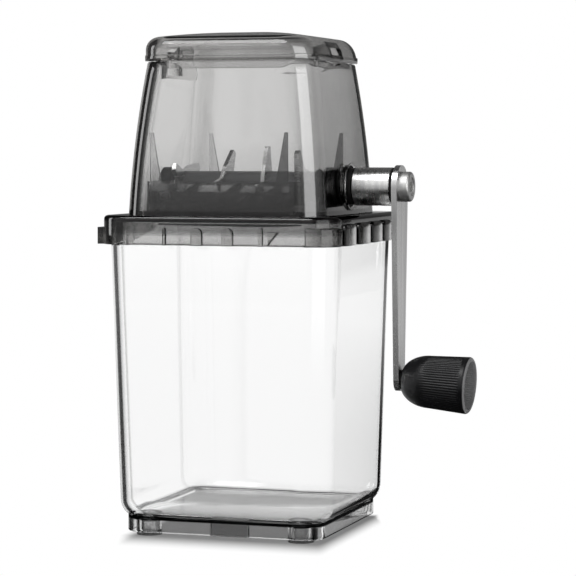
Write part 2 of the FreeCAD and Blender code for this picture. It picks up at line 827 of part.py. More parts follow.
def arm_outline(x):
    """Tapering arm outline: two round ends and their common tangents."""
    sine = (arm_top_radius - arm_low_radius) / crank_throw
    cosine = math.sqrt(1 - sine ** 2)
    top_y = arm_top_radius * cosine
    top_z = shaft_z - arm_top_radius * sine
    low_y = arm_low_radius * cosine
    low_z = knob_z - arm_low_radius * sine
    top = Part.Arc(Vector(x, top_y, top_z), Vector(x, 0, shaft_z + arm_top_radius), Vector(x, -top_y, top_z))
    front = Part.LineSegment(Vector(x, -top_y, top_z), Vector(x, -low_y, low_z))
    low = Part.Arc(Vector(x, -low_y, low_z), Vector(x, 0, knob_z - arm_low_radius), Vector(x, low_y, low_z))
    rear = Part.LineSegment(Vector(x, low_y, low_z), Vector(x, top_y, top_z))
    return Part.Wire([top.toShape(), front.toShape(), low.toShape(), rear.toShape()])


def along_knob(start, end, radius):
    """Cylinder on the knob's axis between two distances from the arm's face."""
    return Part.makeCylinder(radius, end - start, knob_base + knob_axis * start, knob_axis)


def make_crank_arm():
    """Flat tapering crank arm with a D hole for the shaft and a hole for the knob's axle."""
    arm = Part.Face(arm_outline(arm_x)).extrude(Vector(arm_thickness, 0, 0))
    hole = rod_x(arm_x - 1, arm_face_x + 1, arm_drive_radius + screw_fit)
    across = 2 * arm_drive_radius
    flat_z = shaft_z + arm_drive_radius * arm_drive_flat_share + screw_fit
    keep = block(arm_x - 2, arm_face_x + 2, -across, across, flat_z, shaft_z + across)
    axle_hole = along_knob(-3 * arm_thickness, 2, axle_radius + axle_fit)
    return arm.cut([hole.cut(keep), axle_hole]).removeSplitter()


def make_crank_bolt():
    """Round headed bolt with a hexagon socket, screwed into the shaft's end."""
    head = rod_x(arm_face_x, arm_face_x + bolt_head_height, bolt_head_radius)
    face = arm_face_x + bolt_head_height
    rim = [e for e in head.Edges if e.Closed and abs(e.CenterOfMass.x - face) < 0.01]
    head = head.makeFillet(min(bolt_rim_radius, bolt_head_height / 3), rim)
    shank = rod_x(arm_face_x - bolt_shank_length, arm_face_x + 0.1, bolt_shank_radius)
    across = bolt_socket_flats / math.cos(math.radians(30))
    dish = rod_x(face - bolt_dish_depth, face + 1, bolt_head_radius * bolt_dish_share)
    socket = hexagon_x(across, face - bolt_socket_depth, face + 1)
    return head.fuse(shank).cut([dish, socket]).removeSplitter()


# ---------------------------------------------------------------- knob

knob_start = knob_washer_thickness + knob_end_gap
cup_floor = knob_length - knob_cup_depth


def knob_profile():
    """Bullet profile as (distance along the axis, radius) points for a smooth curve."""
    swell = knob_shoulder_radius - knob_neck_radius
    reach = knob_shoulder_at - knob_start
    points = []
    for step in range(7):
        angle = math.radians(15 * step)
        along = knob_start + reach * (1 - math.cos(angle)) ** 0.9
        points.append((along, knob_neck_radius + swell * math.sin(angle)))
    return points


def make_knob():
    """Hollow ended bullet knob that spins on the axle."""
    nose = [Vector(s, 0, r) for s, r in knob_profile()]
    curve = Part.BSplineCurve()
    curve.interpolate(nose)
    bore = axle_radius + knob_running_gap
    rim = knob_rim_rounding
    mouth = knob_rim_radius - knob_cup_wall
    cut = rim * (1 - math.sqrt(0.5))
    side_end = Vector(knob_length - rim, 0, knob_rim_radius)
    face_start = Vector(knob_length, 0, knob_rim_radius - rim)
    turn = Vector(knob_length - cut, 0, knob_rim_radius - cut)
    corners = [
        face_start, Vector(knob_length, 0, mouth), Vector(cup_floor, 0, mouth - knob_cup_draft),
        Vector(cup_floor, 0, bore), Vector(knob_start, 0, bore), nose[0],
    ]
    edges = [curve.toShape(), Part.LineSegment(nose[-1], side_end).toShape()]
    edges.append(Part.Arc(side_end, turn, face_start).toShape())
    for a, b in zip(corners[:-1], corners[1:]):
        edges.append(Part.LineSegment(a, b).toShape())
    solid = Part.Face(Part.Wire(edges)).revolve(Vector(0, 0, 0), Vector(1, 0, 0), 360)
    solid.rotate(Vector(0, 0, 0), Vector(0, 1, 0), knob_droop_degrees)
    solid.translate(knob_base)
    return Part.makeSolid(solid.Shells[0]) if solid.ShapeType != "Solid" else solid


def make_knob_axle():
    """Stud riveted in the arm, with a head in the knob's hollow end."""
    head_at = cup_floor + knob_end_gap
    stem = along_knob(-arm_thickness + 0.1, head_at + 0.1, axle_radius)
    head = along_knob(head_at, head_at + axle_head_thickness, axle_head_radius)
    return stem.fuse(head).removeSplitter()


def make_knob_washer():
    """Thin washer between the arm and the knob."""
    ring = along_knob(0.02, knob_washer_thickness, knob_neck_radius)
    ring = ring.cut(along_knob(-1, 2, axle_radius + axle_fit))
    reach = 2 * knob_neck_radius
    return ring.cut(block(arm_x, arm_face_x, -reach, reach, knob_z - reach, knob_z + reach))


# ---------------------------------------------------------------- lid


def lid_right(z, inset, brow_z):
    """Reach of the lid's right side, which slopes off in a long curve below the brow."""
    length = lid_slope_length - inset * 0.6
    height = lid_slope_height - inset * 0.6
    climb = min(max((z - brow_z + height) / height, 0.0), 1.0)
    return lid_half - inset - length * (1 - math.sqrt(1 - climb ** 2))


def lid_body(inset, z0):
    """Solid of the lid: upright side, round shoulder, a longer slope on the right and a low crown."""
    radius = lid_shoulder_radius - inset * 0.6
    half = lid_half - inset
    brow_z = lid_top_z - lid_crown - inset
    levels = [(z0, half, lid_right(z0, inset, brow_z), lid_corner)]
    for step in range(6):
        angle = math.radians(16 * step)
        shrink = radius * (1 - math.cos(angle))
        z = brow_z - radius * (1 - math.sin(angle))
        levels.append((z, half - shrink, lid_right(z, inset, brow_z), lid_corner - 0.6 * shrink))
    low_z, low_half, low_right, low_corner = levels[-1]
    for share in (0.35, 0.7, 0.97):
        rise = (lid_top_z - inset - low_z) * (1 - (1 - share) ** 2)
        keep = 1 - share
        levels.append((low_z + rise, low_half * keep, low_right * keep, low_corner * keep))
    wires = [rounded_outline(-half, right, -half, half, corner, z) for z, half, right, corner in levels]
    return Part.makeLoft(wires, True, True)


def make_lid():
    """Lid with its rim bead, its plug ring, the hinge notch on the left and the thumb pocket on the right."""
    outside = lid_body(0.0, lid_low_z)
    inside = lid_body(lid_wall, lid_low_z - 1.0)
    plug_half = hopper_high_half - hopper_wall - plug_side_gap
    plug_inner = plug_half - plug_wall
    plug_low = lid_low_z - plug_depth
    shelf_top = lid_low_z + lid_shelf_height
    ring = rounded_block(-plug_half, plug_half, -plug_half, plug_half, plug_corner, plug_low, shelf_top)
    shelf = lid_half - lid_wall / 2
    shelf = rounded_block(-shelf, shelf, -shelf, shelf, lid_corner, lid_low_z, shelf_top)
    hollow = rounded_block(
        -plug_inner, plug_inner, -plug_inner, plug_inner, plug_corner - plug_wall, plug_low - 1, shelf_top + 1,
    )
    bead_half, bead_in = lid_half + lid_bead, lid_half - lid_wall / 2
    bead_top = lid_low_z + lid_bead_height
    bead = rounded_block(-bead_half, bead_half, -bead_half, bead_half, lid_corner, lid_low_z, bead_top)
    core = rounded_block(-bead_in, bead_in, -bead_in, bead_in, lid_corner, lid_low_z - 1, bead_top + 1)
    bead = bead.cut(core)
    added = [ring.fuse(shelf).cut(hollow), bead]
    half_notch = notch_width / 2
    half_housing = half_notch + notch_wall
    inner_x = lid_half - notch_depth
    void_top = lid_low_z + notch_height
    pocket_low = lid_low_z + thumb_pocket_rise
    pocket_top = pocket_low + thumb_pocket_height
    rooms = ((-lid_half, -inner_x + notch_wall, void_top), (inner_x - notch_wall, lid_half, pocket_top))
    for x0, x1, top in rooms:
        housing = block(x0, x1, -half_housing, half_housing, lid_low_z, top + notch_wall)
        added.append(housing.common(outside))
    relief_in = plug_half - plug_corner_reach
    left = -lid_half - 1
    bracket_reach = -hopper_half(hopper_top_z, hopper_wall) + bracket_depth + bracket_side_gap
    half_bracket = bracket_width / 2 + bracket_side_gap
    wall_reach = -lid_half + lid_wall + hinge_wall_gap
    cuts = [
        block(left, -inner_x, -half_notch, half_notch, plug_low - 1, void_top),
        block(inner_x, lid_half + 1, -half_notch, half_notch, pocket_low, pocket_top),
        block(left, bracket_reach, -half_bracket, half_bracket, plug_low - 1, lid_low_z),
        block(left, wall_reach, -lid_half, lid_half, lid_low_z - 1, lid_low_z + hinge_relief),
        rod_y(hinge_x, hinge_z, -half_housing - 1, half_housing + 1, hinge_pin_radius + hinge_fit / 3),
    ]
    for sx in (-1, 1):
        for sy in (-1, 1):
            x0, x1 = sorted((sx * relief_in, sx * (plug_half + 1)))
            y0, y1 = sorted((sy * relief_in, sy * (plug_half + 1)))
            cuts.append(block(x0, x1, y0, y1, plug_low - 1, plug_low + plug_corner_relief))
    return outside.cut(inside).fuse(added).cut(cuts).removeSplitter()


def make_hinge_pin():
    """Pin through the lid's cheeks and the hopper's knuckle."""
    reach = notch_width / 2 + notch_wall + hinge_pin_stand
    return rod_y(hinge_x, hinge_z, -reach, reach, hinge_pin_radius)


# ---------------------------------------------------------------- build


def build():
    """Write every piece."""
    os.makedirs("parts", exist_ok=True)
    write("container", make_container())
    for name, x, y in feet_places():
        write("foot_pad_" + name, make_foot_pad(x, y))
    write("collar", make_collar())
    write("collar_screws", make_collar_screws())
    write("hopper", make_hopper())
    write("chamber", make_chamber())
    write("front_comb", make_comb(-1))
    write("rear_comb", make_comb(1))
    write("comb_screws", make_comb_screws())
    write("drive_bush", make_drive_bush())
    write("blind_bush", make_blind_bush())
    write("shaft_seal", make_shaft_seal())
    write("rotor_shaft", make_rotor_shaft())
    places = blade_places()
    edges = [stack_start_x + clip_thickness]
    for number, x in enumerate(places, 1):
        write("rotor_blade_%d" % number, make_blade(x, rotor_phase_degrees * number))
        edges += [x - blade_thickness / 2, x + blade_thickness / 2]
    edges.append(stack_end_x)
    for number in range(len(places) + 1):
        write("blade_spacer_%d" % (number + 1), make_spacer(edges[2 * number], edges[2 * number + 1]))
    write("shaft_clip", make_shaft_clip())
    write("shaft_sleeve", make_sleeve())
    write("sleeve_grub_screw", make_grub_screw())
    write("crank_washer", make_crank_washer())
    write("crank_arm", make_crank_arm())
    write("crank_bolt", make_crank_bolt())
    write("knob", make_knob())
    write("knob_axle", make_knob_axle())
    write("knob_washer", make_knob_washer())
    write("lid", make_lid())
    write("hinge_pin", make_hinge_pin())


build()
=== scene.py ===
import math

import bmesh
import bpy
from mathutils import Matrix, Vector


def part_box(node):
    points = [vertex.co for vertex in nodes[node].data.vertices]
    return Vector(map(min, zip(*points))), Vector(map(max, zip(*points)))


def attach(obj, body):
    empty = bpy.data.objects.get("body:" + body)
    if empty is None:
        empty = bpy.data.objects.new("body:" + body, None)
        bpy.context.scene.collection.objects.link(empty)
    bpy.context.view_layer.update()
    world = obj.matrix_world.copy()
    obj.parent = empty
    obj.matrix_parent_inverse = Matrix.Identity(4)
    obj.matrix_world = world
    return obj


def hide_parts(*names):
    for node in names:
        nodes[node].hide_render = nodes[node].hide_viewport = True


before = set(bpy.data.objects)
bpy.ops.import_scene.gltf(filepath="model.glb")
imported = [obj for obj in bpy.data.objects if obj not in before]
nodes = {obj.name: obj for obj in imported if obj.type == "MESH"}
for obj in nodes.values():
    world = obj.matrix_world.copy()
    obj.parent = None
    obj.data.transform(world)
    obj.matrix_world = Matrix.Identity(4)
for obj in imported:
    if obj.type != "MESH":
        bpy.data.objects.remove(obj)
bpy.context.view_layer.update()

mm = 0.001

# ---------------------------------------------------------------- camera

camera_place = Vector((0.40119, -1.16790, 0.19488))
camera_turn = math.radians(18.138)
camera_dip = math.radians(3.413)
camera_lens = 151.9
sensor_width = 36.0


def make_camera():
    """Long lens from the front right, at the height of the hopper, tipped down a little."""
    data = bpy.data.cameras.new("camera")
    data.lens = camera_lens
    data.sensor_width = sensor_width
    camera = bpy.data.objects.new("camera", data)
    camera.location = camera_place
    camera.rotation_euler = (math.radians(90) - camera_dip, 0.0, camera_turn)
    bpy.context.scene.collection.objects.link(camera)
    bpy.context.scene.camera = camera


# ---------------------------------------------------------------- sizes read from the frame, in millimetres


def node_box(name):
    """Lowest and highest corner of a node, in millimetres."""
    low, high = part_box(name)
    return [value / mm for value in low], [value / mm for value in high]


collar_high = node_box("collar")[1]
hopper_low = node_box("hopper")[0]
lid_low, lid_high = node_box("lid")
arm_high = node_box("crank_arm")[1]
sleeve_low, sleeve_high = node_box("shaft_sleeve")
shaft_z = (sleeve_low[2] + sleeve_high[2]) / 2
pin_low, pin_high = node_box("hinge_pin")
hinge_x = (pin_low[0] + pin_high[0]) / 2
hinge_z = (pin_low[2] + pin_high[2]) / 2

# ---------------------------------------------------------------- container's base, in millimetres

jar_bottom = 7.7
skirt_low = 1.7
skirt_half = 51.4
foot_radius = 6.4
foot_reach_x = 39.7
foot_reach_y = 43.9
tab_offset = 4.6
tab_half = 9.75
tab_depth = 4.5
tab_inner_face = 46.3
# strengths of the painted shade on the base, from 0 for none to 1 for black
foot_painted_shade = 0.14
tab_painted_shade = 0.62
skirt_painted_shade = 0.27
skirt_corner_painted_shade = 0.96
edge_painted_shade = 0.998

# ---------------------------------------------------------------- place of the knob, in millimetres

knob_droop = math.radians(3.6)
knob_drop = 96.2
knob_axis = Vector((math.cos(knob_droop), 0.0, -math.sin(knob_droop)))
knob_centre = Vector((arm_high[0], 0.0, shaft_z - knob_drop))
knob_length = 35.4
knob_cup_mouth = 12.1
knob_cup_depth = 10.5

# ---------------------------------------------------------------- node helpers


def add(tree, kind, **values):
    """New node in a tree, with its settings or its unlinked sockets set by name."""
    node = tree.nodes.new(kind)
    for name, value in values.items():
        socket = node.inputs.get(name.replace("_", " ").title()) or node.inputs.get(name)
        if hasattr(node, name):
            setattr(node, name, value)
        elif socket is not None:
            socket.default_value = value
        else:
            raise KeyError(kind + " has no " + name)
    return node


def math_node(tree, operation, first, second=None):
    """Math node on sockets or numbers."""
    node = tree.nodes.new("ShaderNodeMath")
    node.operation = operation
    for place, value in enumerate((first, second)):
        if value is None:
            continue
        if isinstance(value, (int, float)):
            node.inputs[place].default_value = value
        else:
            tree.links.new(value, node.inputs[place])
    return node.outputs[0]


def range_node(tree, value, low, high, new_low, new_high):
    """Map Range from one span to another, clamped."""
    node = tree.nodes.new("ShaderNodeMapRange")
    tree.links.new(value, node.inputs["Value"])
    for name, number in (("From Min", low), ("From Max", high), ("To Min", new_low), ("To Max", new_high)):
        node.inputs[name].default_value = number
    return node.outputs["Result"]


def ramp_node(tree, value, stops):
    """Colour ramp from (place, colour) stops."""
    node = tree.nodes.new("ShaderNodeValToRGB")
    ramp = node.color_ramp
    while len(ramp.elements) < len(stops):
        ramp.elements.new(0.5)
    for element, (place, colour) in zip(ramp.elements, stops):
        element.position = place
        element.color = (*colour, 1.0)
    tree.links.new(value, node.inputs["Fac"])
    return node.outputs["Color"]


def new_group(name, inputs, outputs):
    """Empty shader group with named float or vector sockets."""
    group = bpy.data.node_groups.new(name, "ShaderNodeTree")
    for socket, kind, value in inputs:
        made = group.interface.new_socket(socket, in_out="INPUT", socket_type=kind)
        made.default_value = value
    for socket, kind in outputs:
        group.interface.new_socket(socket, in_out="OUTPUT", socket_type=kind)
    entry = group.nodes.new("NodeGroupInput")
    leave = group.nodes.new("NodeGroupOutput")
    return group, entry.outputs, leave.inputs


def place_group(tree, group, **values):
    """Group node in a material, with its own values."""
    node = tree.nodes.new("ShaderNodeGroup")
    node.node_tree = group
    for name, value in values.items():
        node.inputs[name.replace("_", " ").title()].default_value = value
    return node


def bump(tree, height, distance):
    """Bump node over a height, in metres."""
    node = tree.nodes.new("ShaderNodeBump")
    node.inputs["Strength"].default_value = 1.0
    node.inputs["Distance"].default_value = distance
    tree.links.new(height, node.inputs["Height"])
    return node.outputs["Normal"]


def mix_shaders(tree, factor, first, second):
    """Mix of two shaders by a factor."""
    mix = tree.nodes.new("ShaderNodeMixShader")
    for place, socket in enumerate((factor, first, second)):
        tree.links.new(socket, mix.inputs[place])
    return mix.outputs[0]


# ---------------------------------------------------------------- shared effects

corner_spread = (0.10, 0.30)
corner_fade = (0.60, 0.76)
quarter_blend = 0.01
polish_spread = (0.28, 0.38)
skirt_corner_spread = (0.54, 0.62)
skirt_front_spread = (0.5, 0.8)
jar_edge_spread = (0.975, 0.992)


def make_mould_flow():
    """Slow waves and faint haze that moulded plastic keeps from the way it filled the mould."""
    inputs = [("Wave Scale", "NodeSocketFloat", 30.0), ("Haze Scale", "NodeSocketFloat", 90.0)]
    outputs = [("Height", "NodeSocketFloat"), ("Haze", "NodeSocketFloat")]
    group, entry, leave = new_group("mould_flow", inputs, outputs)
    place = add(group, "ShaderNodeTexCoord").outputs["Object"]
    wave = add(group, "ShaderNodeTexNoise", Detail=1.0, Roughness=0.4)
    group.links.new(place, wave.inputs["Vector"])
    group.links.new(entry["Wave Scale"], wave.inputs["Scale"])
    haze = add(group, "ShaderNodeTexNoise", Detail=4.0, Roughness=0.6)
    group.links.new(place, haze.inputs["Vector"])
    group.links.new(entry["Haze Scale"], haze.inputs["Scale"])
    group.links.new(wave.outputs["Fac"], leave["Height"])
    group.links.new(range_node(group, haze.outputs["Fac"], 0.45, 0.75, 0.0, 1.0), leave["Haze"])
    return group


def make_fine_scratches():
    """Short fine scratches in three directions, from wiping and storing."""
    inputs = [("Scale", "NodeSocketFloat", 60.0), ("Amount", "NodeSocketFloat", 0.5)]
    outputs = [("Mask", "NodeSocketFloat")]
    group, entry, leave = new_group("fine_scratches", inputs, outputs)
    place = add(group, "ShaderNodeTexCoord").outputs["Object"]
    total = None
    for turn in ((0.3, 0.2, 0.9), (1.1, 0.7, -0.5), (-0.6, 1.3, 0.4)):
        mapping = add(group, "ShaderNodeMapping")
        mapping.inputs["Rotation"].default_value = turn
        mapping.inputs["Scale"].default_value = (1.0, 24.0, 24.0)
        group.links.new(place, mapping.inputs["Vector"])
        streak = add(group, "ShaderNodeTexNoise", Detail=2.0, Roughness=0.5)
        group.links.new(mapping.outputs["Vector"], streak.inputs["Vector"])
        group.links.new(entry["Scale"], streak.inputs["Scale"])
        line = range_node(group, streak.outputs["Fac"], 0.66, 0.72, 0.0, 1.0)
        total = line if total is None else math_node(group, "MAXIMUM", total, line)
    group.links.new(math_node(group, "MULTIPLY", total, entry["Amount"]), leave["Mask"])
    return group


def make_brushed_grain():
    """Fine parallel lines of brushed metal, long along one axis of Stretch."""
    inputs = [("Stretch", "NodeSocketVector", (1.0, 1.0, 1.0)), ("Scale", "NodeSocketFloat", 900.0)]
    outputs = [("Height", "NodeSocketFloat"), ("Streak", "NodeSocketFloat")]
    group, entry, leave = new_group("brushed_grain", inputs, outputs)
    place = add(group, "ShaderNodeTexCoord").outputs["Object"]
    scaled = add(group, "ShaderNodeVectorMath", operation="MULTIPLY")
    group.links.new(place, scaled.inputs[0])
    group.links.new(entry["Stretch"], scaled.inputs[1])
    fine = add(group, "ShaderNodeTexNoise", Detail=3.0, Roughness=0.7)
    group.links.new(scaled.outputs["Vector"], fine.inputs["Vector"])
    group.links.new(entry["Scale"], fine.inputs["Scale"])
    broad = add(group, "ShaderNodeTexNoise", Detail=2.0, Roughness=0.5)
    group.links.new(scaled.outputs["Vector"], broad.inputs["Vector"])
    group.links.new(math_node(group, "MULTIPLY", entry["Scale"], 0.2), broad.inputs["Scale"])
    group.links.new(fine.outputs["Fac"], leave["Height"])
    group.links.new(range_node(group, broad.outputs["Fac"], 0.35, 0.65, 0.0, 1.0), leave["Streak"])
    return group


def make_mould_texture():
    """Fine eroded texture of an opaque moulding, with slow colour variation."""
    inputs = [("Grain Scale", "NodeSocketFloat", 2200.0)]
    outputs = [("Height", "NodeSocketFloat"), ("Variation", "NodeSocketFloat")]
    group, entry, leave = new_group("mould_texture", inputs, outputs)
    place = add(group, "ShaderNodeTexCoord").outputs["Object"]
    grain = add(group, "ShaderNodeTexNoise", Detail=3.0, Roughness=0.65)
    group.links.new(place, grain.inputs["Vector"])
    group.links.new(entry["Grain Scale"], grain.inputs["Scale"])
    slow = add(group, "ShaderNodeTexNoise", Scale=70.0, Detail=3.0, Roughness=0.5)
    group.links.new(place, slow.inputs["Vector"])
    group.links.new(grain.outputs["Fac"], leave["Height"])
    group.links.new(slow.outputs["Fac"], leave["Variation"])
    return group


def make_corner_shade():
    """Mask of painted shade on the upright round corners, standing in for the dark surroundings that their
    wall bends into view at grazing angles; weaker away from the front left one.
    """
    inputs = [("Facing", "NodeSocketFloat", 0.0), ("Start", "NodeSocketFloat", 0.3),
              ("Full", "NodeSocketFloat", 0.45), ("Elsewhere", "NodeSocketFloat", 1.0)]
    outputs = [("Mask", "NodeSocketFloat")]
    group, entry, leave = new_group("corner_shade", inputs, outputs)
    coordinates = add(group, "ShaderNodeTexCoord").outputs
    split = group.nodes.new("ShaderNodeSeparateXYZ")
    group.links.new(coordinates["Normal"], split.inputs[0])
    place = group.nodes.new("ShaderNodeSeparateXYZ")
    group.links.new(coordinates["Object"], place.inputs[0])
    along_x = math_node(group, "ABSOLUTE", split.outputs["X"])
    along_y = math_node(group, "ABSOLUTE", split.outputs["Y"])
    spread = math_node(group, "MINIMUM", along_x, along_y)
    corner = range_node(group, spread, *corner_spread, 0.0, 1.0)
    past = math_node(group, "SUBTRACT", entry["Facing"], entry["Start"])
    span = math_node(group, "SUBTRACT", entry["Full"], entry["Start"])
    rising = range_node(group, math_node(group, "DIVIDE", past, span), 0.0, 1.0, 0.0, 1.0)
    falling = range_node(group, entry["Facing"], *corner_fade, 1.0, 0.0)
    band = math_node(group, "MULTIPLY", math_node(group, "MULTIPLY", rising, falling), corner)
    farthest = math_node(group, "MAXIMUM", place.outputs["X"], place.outputs["Y"])
    others = range_node(group, farthest, -quarter_blend, quarter_blend, 0.0, 1.0)
    loss = math_node(group, "MULTIPLY", others, math_node(group, "SUBTRACT", 1.0, entry["Elsewhere"]))
    kept = math_node(group, "SUBTRACT", 1.0, loss)
    group.links.new(math_node(group, "MULTIPLY", band, kept), leave["Mask"])
    return group


def make_polished_corner():
    """Mask of the upright round corner between the front and the crank side, where the wall shines most."""
    group, _, leave = new_group("polished_corner", [], [("Mask", "NodeSocketFloat")])
    split = group.nodes.new("ShaderNodeSeparateXYZ")
    group.links.new(add(group, "ShaderNodeTexCoord").outputs["Normal"], split.inputs[0])
    forwards = math_node(group, "MULTIPLY", split.outputs["Y"], -1.0)
    turned = math_node(group, "MINIMUM", split.outputs["X"], forwards)
    group.links.new(range_node(group, turned, *polish_spread, 0.0, 1.0), leave["Mask"])
    return group


def make_base_shade():
    """Painted shade on the container's base, as a factor for its colour: a dark bottom edge, grey feet, and
    darker finger tabs, skirt front and back, and skirt corners.
    """
    group, _, leave = new_group("base_shade", [], [("Tint", "NodeSocketFloat")])
    coordinates = add(group, "ShaderNodeTexCoord").outputs
    place = group.nodes.new("ShaderNodeSeparateXYZ")
    group.links.new(coordinates["Object"], place.inputs[0])
    turned = group.nodes.new("ShaderNodeSeparateXYZ")
    group.links.new(coordinates["Normal"], turned.inputs[0])
    x, y, z = (place.outputs[axis] for axis in "XYZ")
    reach_x = math_node(group, "ABSOLUTE", x)
    reach_y = math_node(group, "ABSOLUTE", y)
    # painted shade below the jar's floor: feet, finger tabs, the skirt's front and back and its corners
    under = range_node(group, z, (jar_bottom - 0.1) * mm, (jar_bottom + 0.4) * mm, 1.0, 0.0)
    offset = group.nodes.new("ShaderNodeCombineXYZ")
    group.links.new(math_node(group, "SUBTRACT", reach_x, foot_reach_x * mm), offset.inputs["X"])
    group.links.new(math_node(group, "SUBTRACT", reach_y, foot_reach_y * mm), offset.inputs["Y"])
    length = add(group, "ShaderNodeVectorMath", operation="LENGTH")
    group.links.new(offset.outputs[0], length.inputs[0])
    from_foot = length.outputs["Value"]
    foot = range_node(group, from_foot, (foot_radius + 0.1) * mm, (foot_radius + 0.3) * mm, 1.0, 0.0)
    shift = math_node(group, "MULTIPLY", math_node(group, "SIGN", y), tab_offset * mm)
    from_tab = math_node(group, "ABSOLUTE", math_node(group, "ADD", x, shift))
    tab = range_node(group, from_tab, (tab_half - 0.05) * mm, (tab_half + 0.1) * mm, tab_painted_shade, 0.0)
    outer = range_node(group, reach_y, (tab_inner_face - 0.1) * mm, (tab_inner_face + 0.1) * mm, 0.0, 1.0)
    tab = math_node(group, "MULTIPLY", tab, outer)
    along_x = math_node(group, "ABSOLUTE", turned.outputs["X"])
    along_y = math_node(group, "ABSOLUTE", turned.outputs["Y"])
    spread = math_node(group, "MINIMUM", along_x, along_y)
    corner = range_node(group, spread, *skirt_corner_spread, 0.0, skirt_corner_painted_shade)
    front = range_node(group, along_y, *skirt_front_spread, 0.0, skirt_painted_shade)
    shade = math_node(group, "MAXIMUM", math_node(group, "MAXIMUM", front, tab), corner)
    shade = math_node(group, "MULTIPLY", shade, math_node(group, "SUBTRACT", 1.0, foot))
    shade = math_node(group, "ADD", shade, math_node(group, "MULTIPLY", foot, foot_painted_shade))
    shade = math_node(group, "MULTIPLY", shade, under)
    # painted shade: a near-black band along the jar's round bottom edge
    along_z = math_node(group, "ABSOLUTE", turned.outputs["Z"])
    steep = range_node(group, along_z, *jar_edge_spread, 1.0, 0.0)
    band = range_node(group, z, (jar_bottom + 1.7) * mm, (jar_bottom + 3.2) * mm, edge_painted_shade, 0.0)
    band = math_node(group, "MULTIPLY", band, steep)
    band = math_node(group, "MULTIPLY", band, math_node(group, "SUBTRACT", 1.0, under))
    darkest = math_node(group, "MAXIMUM", shade, band)
    group.links.new(math_node(group, "SUBTRACT", 1.0, darkest), leave["Tint"])
    return group


corner_shade = make_corner_shade()
polished_corner = make_polished_corner()
mould_flow = make_mould_flow()
fine_scratches = make_fine_scratches()
brushed_grain = make_brushed_grain()
mould_texture = make_mould_texture()

# ---------------------------------------------------------------- materials


def start_material(name):
    """Material with an empty tree, its Principled shader and its output."""
    material = bpy.data.materials.new(name)
    material.use_nodes = True
    tree = material.node_tree
    tree.nodes.clear()
    shader = tree.nodes.new("ShaderNodeBsdfPrincipled")
    output = tree.nodes.new("ShaderNodeOutputMaterial")
    return material, tree, shader, output


rise_span = (0.0, 260.0)
side_span = (-70.0, 70.0)


def blend(tree, kind, first, second, factor=1.0):
    """Mix node of two colours, by a blend type and a factor."""
    node = tree.nodes.new("ShaderNodeMix")
    node.data_type = "RGBA"
    node.blend_type = kind
    for place, value in ((0, factor), (6, first), (7, second)):
        if isinstance(value, float):
            node.inputs[place].default_value = value
        else:
            tree.links.new(value, node.inputs[place])
    return node.outputs[2]


def painted_shade_layer(tree, value, span, stops):
    """Painted shade as greys along one coordinate, given as (millimetres, grey) over a span of millimetres.
    """
    low, high = span
    level = range_node(tree, value, low * mm, high * mm, 0.0, 1.0)
    return ramp_node(tree, level, [((at - low) / (high - low), (grey, grey, grey)) for at, grey in stops])


polish_refraction = 2.0
polish_gloss = 0.03


def see_through_plastic(
        name, absorb, refraction, gloss, wave, lamp_tint, corner, rise_painted_shade=None, side_painted_shade=None, shade=None,
        specular=0.5, polish=False):
    """Transparent moulding, tinted by its depth, with painted shade at turned corners, by height and from
    side to side.
    """
    material, tree, shader, output = start_material(name)
    shader.inputs["Transmission Weight"].default_value = 1.0
    shader.inputs["IOR"].default_value = refraction
    shader.inputs["Specular IOR Level"].default_value = specular
    if polish:
        shader.inputs["Coat IOR"].default_value = polish_refraction
        shader.inputs["Coat Roughness"].default_value = polish_gloss
        shine = place_group(tree, polished_corner)
        tree.links.new(shine.outputs["Mask"], shader.inputs["Coat Weight"])
    flow = place_group(tree, mould_flow)
    marks = place_group(tree, fine_scratches, amount=0.7)
    rough = range_node(tree, flow.outputs["Haze"], 0.0, 1.0, gloss, gloss + 0.02)
    rough = math_node(tree, "ADD", rough, math_node(tree, "MULTIPLY", marks.outputs["Mask"], 0.05))
    tree.links.new(rough, shader.inputs["Roughness"])
    tree.links.new(bump(tree, flow.outputs["Height"], wave), shader.inputs["Normal"])
    weight = tree.nodes.new("ShaderNodeLayerWeight")
    # painted shade at the corners: where it starts and where it is full, its grey, and its share away from
    # the front left corner
    start, full, grey, elsewhere = corner
    turned = place_group(tree, corner_shade, start=start, full=full, elsewhere=elsewhere)
    tree.links.new(weight.outputs["Facing"], turned.inputs["Facing"])
    painted_shade = ramp_node(tree, turned.outputs["Mask"], [(0.0, (1.0, 1.0, 1.0)), (1.0, (grey, grey, grey))])
    place = tree.nodes.new("ShaderNodeSeparateXYZ")
    tree.links.new(tree.nodes.new("ShaderNodeTexCoord").outputs["Object"], place.inputs[0])
    # painted shade by height, from side to side and, for the container, on its base
    if rise_painted_shade:
        painted_shade = blend(tree, "MULTIPLY", painted_shade, painted_shade_layer(tree, place.outputs["Z"], rise_span, rise_painted_shade))
    if side_painted_shade:
        painted_shade = blend(tree, "MULTIPLY", painted_shade, painted_shade_layer(tree, place.outputs["X"], side_span, side_painted_shade))
    if shade:
        painted_shade = blend(tree, "MULTIPLY", painted_shade, place_group(tree, shade).outputs["Tint"])
    tree.links.new(painted_shade, shader.inputs["Base Color"])
    light_path = tree.nodes.new("ShaderNodeLightPath")
    through = tree.nodes.new("ShaderNodeBsdfTransparent")
    through.inputs["Color"].default_value = (*lamp_tint, 1.0)
    shadowing = light_path.outputs["Is Shadow Ray"]
    surface = mix_shaders(tree, shadowing, shader.outputs[0], through.outputs[0])
    tree.links.new(surface, output.inputs["Surface"])
    depth = tree.nodes.new("ShaderNodeVolumeAbsorption")
    colour, density = absorb
    depth.inputs["Color"].default_value = (*colour, 1.0)
    depth.inputs["Density"].default_value = density
    tree.links.new(depth.outputs[0], output.inputs["Volume"])
    return material


